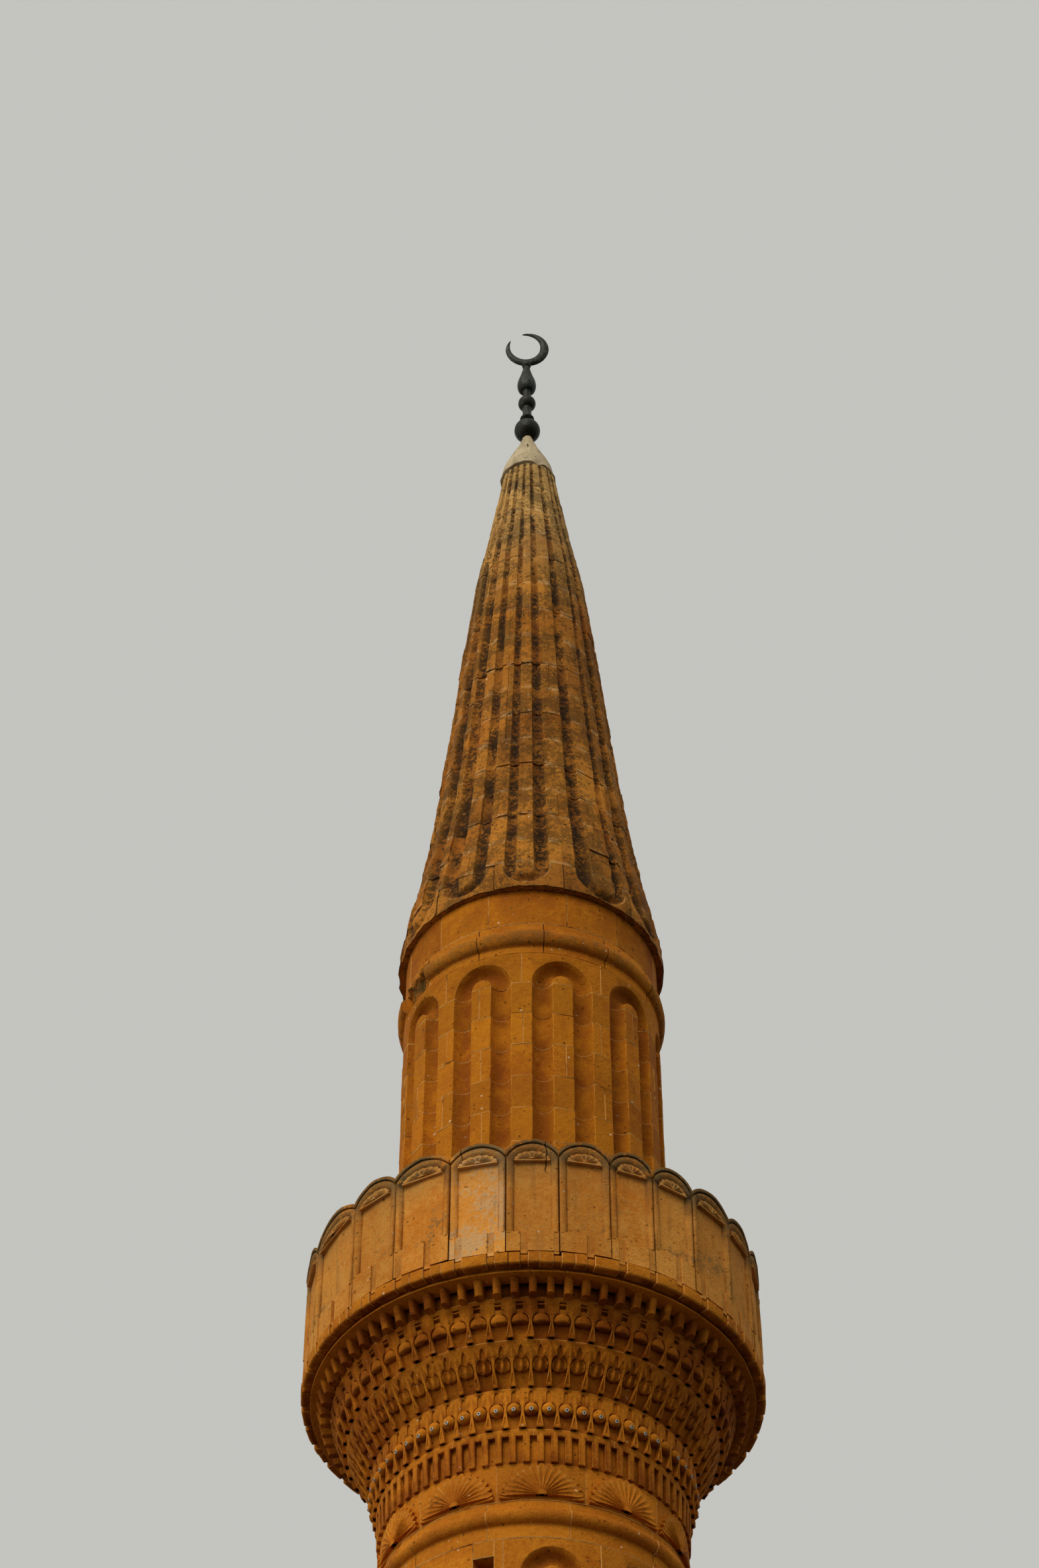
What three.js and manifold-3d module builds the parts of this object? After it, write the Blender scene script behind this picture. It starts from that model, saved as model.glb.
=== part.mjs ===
// Stone minaret: square base, round shaft with blind arches, one balcony on carved corbels,
// arched drum, fluted spire and a bronze crescent.
// Millimetres, +Z up, origin at the centre of the underside, photographed side facing -Y.
// Azimuths are in degrees, 0 towards -Y and growing towards +X.
import * as THREE from 'three';
import { mergeVertices } from 'three/addons/utils/BufferGeometryUtils.js';
import Module from 'manifold-3d';

const wasm = await Module();
wasm.setup();

// Clearances and facets
const GAP = 0.3;
const WELD = 0.001;
const RING_SIDES = 24;
const CORBEL_SIDES = 32;
const BORE_SIDES = 16;
const BALL_SIDES = 12;
const CHANNEL_SIDES = 6;
const ARCH_STEPS = 4;
const WIDEST_FACET = 18.1;

// Hollow core that runs from the base room to the spire
const BORE = 790;

// Square base
const PLINTH = { half: 1800, top: 350 };
const BASE = { half: 1650, room: 800, top: 4600 };
const FOOT_DOOR = { half: 400, springing: 1850 };
const BASE_CORNICE = { half: 1760, neck: 1680, top: 4880 };
const TRANSITION = { halfBelow: 1600, cornerRadius: 2160, top: 6080, radiusAbove: 1290 };

// Shaft
const FOOT_RING = { top: 6260, radius: 1300, neck: 1215, band: 20 };
const LOWER_STOREY = { radius: 1200, top: 10800 };
const MIDDLE_RING = { top: 11000, radius: 1280, neck: 1200, band: 25 };
const UPPER_STOREY = { radius: 1170, top: 15635 };
const SHAFT_RING = { rollBottom: 15700, rollTop: 15850, top: 15956, radius: 1170, roll: 1232 };
const SHAFT_BAY = { first: 6.9, spacing: 36, count: 9, flute: 8, crownBelowTop: 75, footAbove: 320 };
const SLIT = { azimuth: -18.5, width: 160, height: 700, topBelow: 135 };

// Corbel courses under the balcony: underside radius, lip radius and heights
const LIP_SHARE = 0.12;
const FANS = { top: 16275, foot: 1172, lip: 1186 };
const TEETH = { top: 16559, foot: 1180, lip: 1226 };
const BALLS = { top: 16897, foot: 1240, belly: 1268, bellyHeight: 16650, lip: 1283 };
const LOBES = { top: 17207, foot: 1300, belly: 1374, bellyHeight: 16994, lip: 1478 };
const FLASKS = { top: 17500, foot: 1486, belly: 1530, bellyHeight: 17264, lip: 1620 };
const BILLETS = { top: 17613, foot: 1700, lip: 1742, inner: 690 };

// Balcony
const CORNICE = {
  top: 17750, fillet: 1783, filletTop: 17632, hollow: 1752, key: 1866, keyBottom: 17672, inner: 1560,
};
const PAVING = { inner: 1148 };
const LANDING = { clear: 1 };
const PARAPET = { radius: 1868, thickness: 140, valley: 18770, crown: 18872, top: 18960, slots: 26 };
const PARAPET_CUT = { steps: 6, shoulder: 4, past: 60 };
const PARAPET_JOINTS = [-69.6, -49.8, -35.6, -20.4, -6.4, 6.5, 19.2, 31.0, 43.3, 57.7, 71.6];

// Drum over the balcony
const DRUM = { radius: 1141, course: 19860, top: 21636, crown: 21560, footAbove: 260 };
const DRUM_BAY = { first: 13.8, spacing: 36, count: 10, flute: 9 };
const BALCONY_DOOR = { bay: 5, half: 310, springing: 19290 };
const DRUM_RING = { rollBottom: 21720, rollTop: 21900, top: 21995, roll: 1195, neck: 1133 };
const BROKEN_ROLL = { from: -70, to: -55, radius: 1108, steps: 3 };
const FRIEZE = { radius: 1133, top: 22400 };

// Spire: outer radius at each height, with the hollow inside it
const SPIRE_PROFILE = [
  [1191, 22400], [1190, 22540], [1152, 22780], [1032, 23460], [966, 23920], [859, 24840], [768, 25800],
  [672, 26780], [615, 27300], [558, 27840], [475, 28380], [390, 28920], [327, 29380], [282, 29710],
];
const SPIRE_HOLLOW = [[BORE, 22400], [750, 23920], [560, 25800], [350, 27840]];
const SPIRE_APEX = 28650;
const SPIRE_STAGES = [22400, 23920, 25800, 27840, 29710];
const SPIRE_RIBS = [
  [-45.3, 5.1], [-30.3, 7.1], [-16.0, 8.1], [-2.5, 7.4], [14.3, 11.7], [34.1, 11.6], [48.2, 5.9],
];
const SPIRE_BACK_RIBS = { count: 15, width: 8.2 };
const SPIRE_FLUTE_FOOT = 22740;
const SPIRE_NOSE = 60;
const FLUTE_FLOOR = { halfWidth: 0.28, depth: 0.42 };
const ARCH_CHANNEL = { share: 0.94, past: 0.005 };
const ARCH_RADIUS_IN_FLUTES = 1.5;

// Cap stone and finial
const CAP = {
  rim: 274, rimTop: 29760, shoulder: 258, shoulderTop: 29780,
  neck: 66, neckHeight: 30450, top: 30520, tip: 42,
};
const BIG_BALL = { centre: 30657, radius: 141, flat: 70 };
const DISC = { rim: 74, flareTop: 30875, neck: 49 };
const MIDDLE_BALL = { centre: 31151, radius: 97, flat: 62, neck: 46, neckTop: 31372 };
const PEAR = {
  seat: 56, shoulder: 93, shoulderRise: 40, belly: 103, bellyHeight: 31490,
  waist: 88, waistHeight: 31580, neck: 36,
};
const COLLAR = { centre: 31868, radius: 51, flat: 60 };
const CRESCENT = {
  centreZ: 32199, halfWidth: 217, halfHeight: 272, thickest: 84, thinnest: 6, depth: 64, steps: 20,
};
const CRESCENT_OPENING = { from: 101, to: 146 };
const CRESCENT_SWELL = { skew: 0.85, fullness: 0.75 };

const radians = THREE.MathUtils.degToRad;

function finish(color, roughness, metalness = 0) {
  return new THREE.MeshStandardMaterial({ color, roughness, metalness });
}

const MATERIAL = {
  baseStone: finish(0xb98a55, 0.9),
  ochreStone: finish(0xb8752f, 0.85),
  parapetStone: finish(0xc08a58, 0.88),
  spireStone: finish(0x8f6a38, 0.93),
  capStone: finish(0xcdbb98, 0.9),
  bronze: finish(0x2c2a22, 0.45, 0.8),
};

// Solids

// Six times the signed volume of a closed triangle mesh.
function signedVolume(position, index) {
  const corners = [new THREE.Vector3(), new THREE.Vector3(), new THREE.Vector3()];
  let volume = 0;
  for (let i = 0; i < index.length; i += 3) {
    corners.forEach((corner, k) => corner.fromArray(position, 3 * index[i + k]));
    volume += corners[0].dot(corners[1].cross(corners[2]));
  }
  return volume;
}

// A closed solid made from any closed geometry, with its faces turned outwards.
function solidOf(geometry) {
  geometry.deleteAttribute('normal');
  geometry.deleteAttribute('uv');
  const merged = mergeVertices(geometry, WELD);
  const position = merged.attributes.position.array;
  const triangles = [];
  for (let i = 0; i < merged.index.count; i += 3) {
    const [a, b, c] = merged.index.array.slice(i, i + 3);
    if (a !== b && b !== c && c !== a) triangles.push(a, b, c);
  }
  if (signedVolume(position, triangles) < 0) triangles.reverse();
  const mesh = new wasm.Mesh({
    numProp: 3,
    vertProperties: Float32Array.from(position),
    triVerts: Uint32Array.from(triangles),
  });
  return new wasm.Manifold(mesh);
}

function meshOf(name, solid, material) {
  const { vertProperties, triVerts } = solid.getMesh();
  const geometry = new THREE.BufferGeometry();
  geometry.setAttribute('position', new THREE.BufferAttribute(Float32Array.from(vertProperties), 3));
  geometry.setIndex(new THREE.BufferAttribute(Uint32Array.from(triVerts), 1));
  geometry.computeVertexNormals();
  const mesh = new THREE.Mesh(geometry, material);
  mesh.name = name;
  return mesh;
}

// A block between two corners.
function block([x0, y0, z0], [x1, y1, z1]) {
  const geometry = new THREE.BoxGeometry(x1 - x0, y1 - y0, z1 - z0);
  return solidOf(geometry.translate((x0 + x1) / 2, (y0 + y1) / 2, (z0 + z1) / 2));
}

// A solid turned about the axis from a closed outline of [radius, height] pairs.
function turned(outline, sides = RING_SIDES, start = 0) {
  const points = [...outline, outline[0]].map(([r, z]) => new THREE.Vector2(r, z));
  const geometry = new THREE.LatheGeometry(points, sides, radians(start));
  return solidOf(geometry.rotateX(Math.PI / 2));
}

// A ring with upright inner and outer walls.
function plainRing(inner, outer, bottom, top, sides, start) {
  return turned([[inner, bottom], [outer, bottom], [outer, top], [inner, top]], sides, start);
}

function polar(radius, azimuth) {
  return [radius * Math.sin(radians(azimuth)), -radius * Math.cos(radians(azimuth))];
}

const planPoints = (outline) => outline.map(([x, y]) => new THREE.Vector2(x, y));

// A prism over a plan outline of [x, y] pairs, with a hole where one is given.
function prism(outline, bottom, top, hole) {
  const shape = new THREE.Shape(planPoints(outline));
  if (hole) shape.holes.push(new THREE.Path(planPoints(hole)));
  const geometry = new THREE.ExtrudeGeometry(shape, { depth: top - bottom, bevelEnabled: false });
  return solidOf(geometry.translate(0, 0, bottom));
}

// The plan of a piece of a ring between two azimuths.
function sectorPlan(inner, outer, from, to, steps) {
  const azimuths = Array.from({ length: steps + 1 }, (_, i) => from + ((to - from) * i) / steps);
  const outerArc = azimuths.map((azimuth) => polar(outer, azimuth));
  const innerArc = azimuths.map((azimuth) => polar(inner, azimuth)).reverse();
  return [...outerArc, ...innerArc];
}

// An extrusion of a local [along, up] outline through the wall at an azimuth, from one radius to another.
function throughWall(outline, azimuth, inner, outer) {
  const shape = new THREE.Shape(outline.map(([along, up]) => new THREE.Vector2(along, up)));
  const geometry = new THREE.ExtrudeGeometry(shape, { depth: outer - inner, bevelEnabled: false });
  geometry.rotateX(Math.PI / 2);
  geometry.translate(0, -inner, 0);
  return solidOf(geometry.rotateZ(radians(azimuth)));
}

// Points of an arch from its right springing over the crown to its left one.
function archPoints(halfSpan, springing, rise, steps) {
  const radius = (halfSpan ** 2 + rise ** 2) / (2 * rise);
  const sweep = Math.asin(halfSpan / radius);
  const opening = rise > halfSpan - WELD ? Math.PI / 2 : sweep;
  return Array.from({ length: steps + 1 }, (_, i) => {
    const angle = opening * (1 - (2 * i) / steps);
    return [radius * Math.sin(angle), springing + rise - radius * (1 - Math.cos(angle))];
  });
}

// The outline of a round-headed doorway.
function doorwayOutline(half, bottom, springing) {
  return [[-half, bottom], [half, bottom], ...archPoints(half, springing, half, 2 * ARCH_STEPS)];
}

// Blind arches

// Centre line of the channel that bends over a bay's rib, wrapped round the wall.
class BayArch extends THREE.Curve {
  constructor(wallRadius, azimuth, archRadius, springing) {
    super();
    Object.assign(this, { wallRadius, azimuth, archRadius, springing });
  }

  getPoint(t) {
    const angle = Math.PI * (1 + ARCH_CHANNEL.past - (1 + 2 * ARCH_CHANNEL.past) * t);
    const turn = radians(this.azimuth) + (this.archRadius * Math.cos(angle)) / this.wallRadius;
    const height = this.springing + this.archRadius * Math.sin(angle);
    return new THREE.Vector3(this.wallRadius * Math.sin(turn), -this.wallRadius * Math.cos(turn), height);
  }
}

// The half-round channel over a rib, ready to be cut from the wall.
function archCutter({ radius, flute }, azimuth, springing) {
  const chord = radius * Math.cos(radians(flute / 2));
  const channelRadius = ARCH_CHANNEL.share * radius * Math.sin(radians(flute / 2));
  const section = new THREE.Shape(
    Array.from({ length: CHANNEL_SIDES }, (_, i) => {
      const angle = (2 * Math.PI * (i + 0.5)) / CHANNEL_SIDES;
      return new THREE.Vector2(channelRadius * Math.cos(angle), channelRadius * Math.sin(angle));
    }),
  );
  const extrudePath = new BayArch(chord, azimuth, radius * radians(flute), springing);
  return solidOf(new THREE.ExtrudeGeometry(section, { steps: ARCH_STEPS, bevelEnabled: false, extrudePath }));
}

function bayAzimuths({ first, spacing, count }) {
  return Array.from({ length: count }, (_, i) => first + spacing * i);
}

// Adds corners so that no facet of a wall's plan is wider than the limit.
function withoutWideFacets(corners) {
  return corners.flatMap(([radius, azimuth], i) => {
    const next = i + 1 < corners.length ? corners[i + 1][1] : corners[0][1] + 360;
    const parts = Math.ceil((next - azimuth) / WIDEST_FACET);
    return Array.from({ length: parts }, (_, k) => [radius, azimuth + ((next - azimuth) * k) / parts]);
  });
}

// Plan of a wall with two flutes a bay: flat ribs, and flutes drawn in where the depth is over 0.
function bayPlan({ radius, flute }, azimuths, fluted) {
  const depth = FLUTE_FLOOR.depth * radius * radians(flute);
  const corners = azimuths.flatMap((azimuth) => [-1, 1].flatMap((side) => {
    const centre = azimuth + side * flute;
    const floor = [-1, 1].map((end) => [radius - depth, centre + end * FLUTE_FLOOR.halfWidth * flute]);
    const drawnIn = fluted.includes(azimuth) ? floor : [];
    return [[radius, centre - flute / 2], ...drawnIn, [radius, centre + flute / 2]];
  }));
  return withoutWideFacets(corners).map(([distance, azimuth]) => polar(distance, azimuth));
}

const borePlan = Array.from({ length: BORE_SIDES }, (_, i) => polar(BORE, (360 * i) / BORE_SIDES));

// A hollow round wall: plain foot, fluted bays, and where asked the arched heads over them.
function bayWall(wall, azimuths, fluted, { bottom, foot, springing, top }, arched) {
  const plain = bayPlan(wall, azimuths, []);
  let solid = prism(bayPlan(wall, azimuths, fluted), foot, springing, borePlan);
  if (foot > bottom) solid = solid.add(prism(plain, bottom, foot, borePlan));
  if (top > springing) {
    let head = prism(plain, springing, top, borePlan);
    for (const azimuth of arched) head = head.subtract(archCutter(wall, azimuth, springing));
    solid = solid.add(head);
  }
  return solid;
}

// Base

function buildBase() {
  const group = new THREE.Group();
  const put = (name, solid) => group.add(meshOf(name, solid, MATERIAL.baseStone));
  const { half, room, top } = BASE;
  const floor = PLINTH.top + GAP;
  const { half: doorHalf, springing } = FOOT_DOOR;
  put('base_plinth', block([-PLINTH.half, -PLINTH.half, 0], [PLINTH.half, PLINTH.half, PLINTH.top]));
  put('base_wall_left', block([-half, -half, floor], [-room, half, top]));
  put('base_wall_right', block([room, -half, floor], [half, half, top]));
  put('base_wall_back', block([GAP - room, room, floor], [room - GAP, half, top]));
  put('doorway_jamb_left', block([GAP - room, -half, floor], [-doorHalf, -room, springing]));
  put('doorway_jamb_right', block([doorHalf, -half, floor], [room - GAP, -room, springing]));
  const over = block([GAP - room, -half, springing + GAP], [room - GAP, -room, top]);
  const arch = throughWall(doorwayOutline(doorHalf, springing - doorHalf, springing), 0, room - 1, half + 1);
  put('doorway_arch_wall', over.subtract(arch));
  put('base_cornice', squareCornice());
  put('transition', transitionBlock());
  return group;
}

// A stepped square slab with the round bore through it.
function squareCornice() {
  const { half, neck, top } = BASE_CORNICE;
  const bottom = BASE.top + GAP;
  const step = (bottom + top) / 2;
  const under = block([-neck, -neck, bottom], [neck, neck, top]);
  const over = block([-half, -half, step], [half, half, top]);
  return under.add(over).subtract(bore(bottom, top));
}

// The round bore between two heights, ready to be cut.
function bore(bottom, top) {
  return turned([[0, bottom - 1], [BORE, bottom - 1], [BORE, top + 1], [0, top + 1]]);
}

// From the square base to the round shaft: a square frustum trimmed by a cone.
function transitionBlock() {
  const { halfBelow, cornerRadius, top, radiusAbove } = TRANSITION;
  const bottom = BASE_CORNICE.top + GAP;
  const height = top - bottom;
  const corner = Math.SQRT2;
  const geometry = new THREE.CylinderGeometry(radiusAbove * corner, halfBelow * corner, height, 4);
  geometry.rotateY(Math.PI / 4).rotateX(Math.PI / 2).translate(0, 0, (bottom + top) / 2);
  const cone = turned([[0, bottom], [cornerRadius, bottom], [radiusAbove, top], [0, top]]);
  return solidOf(geometry).intersect(cone).subtract(bore(bottom, top));
}

// Shaft

// A round moulding with a half-round roll between two heights.
function rollRing(neck, roll, [bottom, rollBottom, rollTop, top], sides, start) {
  const middle = (rollBottom + rollTop) / 2;
  const rise = (rollTop - rollBottom) / 2;
  const bulge = [-90, -35, 35, 90].map((angle) => [
    neck + (roll - neck) * Math.cos(radians(angle)),
    middle + rise * Math.sin(radians(angle)),
  ]);
  return turned([[BORE, bottom], [neck, bottom], ...bulge, [neck, top], [BORE, top]], sides, start);
}

// A ring whose roll lies between two narrow bands.
function bandedRing(bottom, { top, radius, neck, band }) {
  return rollRing(neck, radius, [bottom, bottom + band, top - band, top]);
}

// One storey of the shaft with its blind arches and slit window.
function shaftStorey(bottom, { radius, top }) {
  const { flute, crownBelowTop, footAbove } = SHAFT_BAY;
  const springing = top - crownBelowTop - radius * radians(ARCH_RADIUS_IN_FLUTES * flute);
  const azimuths = bayAzimuths(SHAFT_BAY);
  const heights = { bottom, foot: bottom + footAbove, springing, top };
  const wall = bayWall({ radius, flute }, azimuths, azimuths, heights, azimuths);
  const slitTop = top - SLIT.topBelow;
  const slit = [-1, 1].map((side) => [(side * SLIT.width) / 2, slitTop - SLIT.height]);
  slit.push([SLIT.width / 2, slitTop], [-SLIT.width / 2, slitTop]);
  return wall.subtract(throughWall(slit, SLIT.azimuth, BORE - 100, radius + 100));
}

function buildShaft() {
  const group = new THREE.Group();
  const put = (name, solid) => group.add(meshOf(name, solid, MATERIAL.ochreStone));
  put('foot_ring', bandedRing(TRANSITION.top + GAP, FOOT_RING));
  put('shaft_lower', shaftStorey(FOOT_RING.top + GAP, LOWER_STOREY));
  put('middle_ring', bandedRing(LOWER_STOREY.top + GAP, MIDDLE_RING));
  put('shaft_upper', shaftStorey(MIDDLE_RING.top + GAP, UPPER_STOREY));
  const { rollBottom, rollTop, top, radius, roll } = SHAFT_RING;
  put('shaft_ring', rollRing(radius, roll, [UPPER_STOREY.top + GAP, rollBottom, rollTop, top]));
  return group;
}

// Corbel

// A corbel course that leans out from its foot to its lip.
function corbelCourse(bottom, { top, foot, lip, belly, bellyHeight, inner = BORE }) {
  const swelling = belly ? [[belly, bellyHeight]] : [];
  const lipFoot = top - LIP_SHARE * (top - bottom);
  const outline = [[inner, bottom], [foot, bottom], ...swelling, [lip, lipFoot], [lip, top], [inner, top]];
  return turned(outline, CORBEL_SIDES);
}

function buildCorbel() {
  const group = new THREE.Group();
  const courses = { fans: FANS, teeth: TEETH, balls: BALLS, lobes: LOBES, flasks: FLASKS, billets: BILLETS };
  let bottom = SHAFT_RING.top + GAP;
  for (const [name, course] of Object.entries(courses)) {
    group.add(meshOf(`corbel_${name}`, corbelCourse(bottom, course), MATERIAL.ochreStone));
    bottom = course.top + GAP;
  }
  return group;
}

// Balcony

// The thirteen parapet stones as lists of three azimuths: two panels each.
function parapetPairs() {
  const joints = [...PARAPET_JOINTS];
  const last = joints.at(-1);
  const hidden = PARAPET.slots - (joints.length - 1);
  const step = (joints[0] + 360 - last) / hidden;
  for (let i = 1; i <= hidden; i += 1) joints.push(last + step * i);
  return Array.from({ length: PARAPET.slots / 2 }, (_, i) => joints.slice(2 * i, 2 * i + 3));
}

// Two arched panels cut from one curved stone.
function parapetStone([from, middle, to]) {
  const { radius, thickness, valley, crown, top } = PARAPET;
  const inner = radius - thickness;
  const clear = (GAP / radius) * (180 / Math.PI);
  const end = to - clear;
  const azimuths = [from, (from + middle) / 2, middle, (middle + end) / 2, end];
  const plan = [...azimuths.map((a) => polar(radius, a)), ...azimuths.reverse().map((a) => polar(inner, a))];
  const stone = prism(plan, CORNICE.top + GAP, top);
  const cutters = [[from, middle], [middle, to]].map(([left, right]) => {
    const half = radius * Math.sin(radians((right - left) / 2));
    const shoulder = half + PARAPET_CUT.shoulder;
    const arch = archPoints(half, valley, crown - valley, PARAPET_CUT.steps);
    const outline = [[shoulder, valley], ...arch, [-shoulder, valley]];
    outline.push([-shoulder, top + 1], [shoulder, top + 1]);
    return throughWall(outline, (left + right) / 2, inner - PARAPET_CUT.past, radius + PARAPET_CUT.past);
  });
  return stone.subtract(cutters[0]).subtract(cutters[1]);
}

function buildBalcony() {
  const group = new THREE.Group();
  const { top, fillet, filletTop, hollow, key, keyBottom, inner } = CORNICE;
  const bottom = BILLETS.top + GAP;
  const edge = [[fillet, bottom], [fillet, filletTop], [hollow, filletTop], [key, keyBottom], [key, top]];
  const cornice = turned([[inner, bottom], ...edge, [inner, top]], CORBEL_SIDES);
  group.add(meshOf('balcony_cornice', cornice, MATERIAL.ochreStone));
  const paving = plainRing(PAVING.inner, inner - GAP, bottom, top, CORBEL_SIDES);
  group.add(meshOf('gallery_paving', paving, MATERIAL.baseStone));
  const rim = BORE - LANDING.clear;
  const landing = turned([[0, bottom], [rim, bottom], [rim, top], [0, top]], BORE_SIDES);
  group.add(meshOf('landing_floor', landing, MATERIAL.baseStone));
  parapetPairs().forEach((joints, i) => {
    const name = `parapet_stone_${String(i + 1).padStart(2, '0')}`;
    group.add(meshOf(name, parapetStone(joints), MATERIAL.parapetStone));
  });
  return group;
}

// Drum

function buildDrum() {
  const group = new THREE.Group();
  const put = (name, solid) => group.add(meshOf(name, solid, MATERIAL.ochreStone));
  const { radius, course, top, crown, footAbove } = DRUM;
  const wall = { radius, flute: DRUM_BAY.flute };
  const azimuths = bayAzimuths(DRUM_BAY);
  const doorAzimuth = azimuths[BALCONY_DOOR.bay];
  const fluted = azimuths.filter((azimuth) => azimuth !== doorAzimuth);

  const foot = CORNICE.top + footAbove;
  const lowerHeights = { bottom: BILLETS.top + GAP, foot, springing: course, top: course };
  const door = doorwayOutline(BALCONY_DOOR.half, CORNICE.top, BALCONY_DOOR.springing);
  const doorway = throughWall(door, doorAzimuth, BORE - 200, radius + 100);
  put('drum_lower', bayWall(wall, azimuths, fluted, lowerHeights, []).subtract(doorway));

  const upperFoot = course + GAP;
  const springing = crown - radius * radians(ARCH_RADIUS_IN_FLUTES * DRUM_BAY.flute);
  const upperHeights = { bottom: upperFoot, foot: upperFoot, springing, top };
  put('drum_upper', bayWall(wall, azimuths, azimuths, upperHeights, azimuths));

  const { rollBottom, rollTop, top: ringTop, roll, neck } = DRUM_RING;
  const ring = rollRing(neck, roll, [top + GAP, rollBottom, rollTop, ringTop], CORBEL_SIDES);
  const { from, to, radius: brokenRadius, steps } = BROKEN_ROLL;
  const broken = prism(sectorPlan(brokenRadius, roll + 50, from, to, steps), top, rollTop + 5);
  put('drum_ring', ring.subtract(broken));
  put('frieze', plainRing(BORE, FRIEZE.radius, ringTop + GAP, FRIEZE.top - GAP, CORBEL_SIDES));
  return group;
}

// Spire

// Radius of a [radius, height] profile at a height.
function profileRadius(profile, height) {
  const upper = profile.findIndex(([, z]) => z >= height);
  if (upper === 0) return profile[0][0];
  const [lowRadius, lowHeight] = profile[upper - 1];
  const [highRadius, highHeight] = profile[upper];
  return lowRadius + ((highRadius - lowRadius) * (height - lowHeight)) / (highHeight - lowHeight);
}

// Azimuths round the spire with the share of the radius that each is drawn in by.
function spireSteps() {
  const ribs = SPIRE_RIBS.map(([centre, width]) => ({ centre, width }));
  const [first] = ribs;
  const last = ribs.at(-1);
  const step = (first.centre + 360 - last.centre) / (SPIRE_BACK_RIBS.count + 1);
  for (let i = 1; i <= SPIRE_BACK_RIBS.count; i += 1) {
    ribs.push({ centre: last.centre + step * i, width: SPIRE_BACK_RIBS.width });
  }
  return ribs.flatMap(({ centre, width }, i) => {
    const next = i + 1 < ribs.length ? ribs[i + 1] : { centre: first.centre + 360, width: first.width };
    const from = centre + width / 2;
    const flute = next.centre - next.width / 2 - from;
    const floor = [-1, 1].map((end) => ({
      azimuth: from + flute / 2 + end * FLUTE_FLOOR.halfWidth * flute,
      drawnIn: FLUTE_FLOOR.depth * radians(flute),
    }));
    return [{ azimuth: centre - width / 2, drawnIn: 0 }, { azimuth: from, drawnIn: 0 }, ...floor];
  });
}

// A turned shell whose marked outline points, [radius, height, true], are drawn in along the flutes.
function flutedShell(outline) {
  const steps = spireSteps();
  const closed = [...outline, outline[0]];
  const geometry = new THREE.LatheGeometry(closed.map(([r, z]) => new THREE.Vector2(r, z)), steps.length);
  const { position } = geometry.attributes;
  for (let i = 0; i < position.count; i += 1) {
    const [radius, height, fluted] = closed[i % closed.length];
    const { azimuth, drawnIn } = steps[Math.floor(i / closed.length) % steps.length];
    position.setXYZ(i, ...polar(radius * (fluted ? 1 - drawnIn : 1), azimuth), height);
  }
  return solidOf(geometry);
}

// One stage of the spire shell, hollow up to the apex and fluted outside.
function spireStage(bottom, top, isTop) {
  const isFoot = bottom < SPIRE_FLUTE_FOOT;
  const heights = isFoot ? [bottom, SPIRE_FLUTE_FOOT - SPIRE_NOSE, SPIRE_FLUTE_FOOT] : [bottom];
  heights.push((Math.max(bottom, SPIRE_FLUTE_FOOT) + top) / 2, top);
  const outer = heights.map((height) => {
    const radius = profileRadius(SPIRE_PROFILE, height);
    return [radius, height, height >= SPIRE_FLUTE_FOOT];
  });
  const hollowFoot = [profileRadius(SPIRE_HOLLOW, bottom), bottom];
  const hollowHead = isTop ? [[0, top], [0, SPIRE_APEX]] : [[profileRadius(SPIRE_HOLLOW, top), top]];
  return flutedShell([hollowFoot, ...outer, ...hollowHead]);
}

function buildSpire() {
  const group = new THREE.Group();
  const names = ['spire_foot', 'spire_lower', 'spire_middle', 'spire_top'];
  names.forEach((name, i) => {
    const isTop = i === names.length - 1;
    const top = SPIRE_STAGES[i + 1] - (isTop ? 0 : GAP);
    group.add(meshOf(name, spireStage(SPIRE_STAGES[i], top, isTop), MATERIAL.spireStone));
  });
  const { rim, rimTop, shoulder, shoulderTop, neck, neckHeight, top, tip } = CAP;
  const seat = SPIRE_STAGES.at(-1) + GAP;
  const cap = onAxis([[rim, seat], [rim, rimTop], [shoulder, shoulderTop], [neck, neckHeight], [tip, top]]);
  group.add(meshOf('cap_stone', turned(cap), MATERIAL.capStone));
  return group;
}

// Finial

// Half circle of [radius, height] pairs between two angles from the horizontal.
function ballOutline({ centre, radius }, lowAngle, highAngle, steps = 6) {
  return Array.from({ length: steps + 1 }, (_, i) => {
    const angle = radians(lowAngle + ((highAngle - lowAngle) * i) / steps);
    return [radius * Math.cos(angle), centre + radius * Math.sin(angle)];
  });
}

// A lathe outline closed along the axis.
const onAxis = (outline) => [[0, outline[0][1]], ...outline, [0, outline.at(-1)[1]]];

// The crescent's outline: an ellipse's line thickened to a tip at both ends of its opening.
function crescentOutline() {
  const { centreZ, halfWidth, halfHeight, thickest, thinnest, steps } = CRESCENT;
  const { from, to } = CRESCENT_OPENING;
  const sweep = 360 - (to - from);
  const edge = (side) => Array.from({ length: steps + 1 }, (_, i) => {
    const share = i / steps;
    const angle = radians(to + sweep * share);
    const swell = Math.sin(Math.PI * share ** CRESCENT_SWELL.skew) ** CRESCENT_SWELL.fullness;
    const half = (thinnest + (thickest - thinnest) * swell) / 2;
    return [
      (halfWidth + side * half) * Math.cos(angle),
      centreZ + (halfHeight + side * half) * Math.sin(angle),
    ];
  });
  return [...edge(1), ...edge(-1).reverse()];
}

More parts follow.
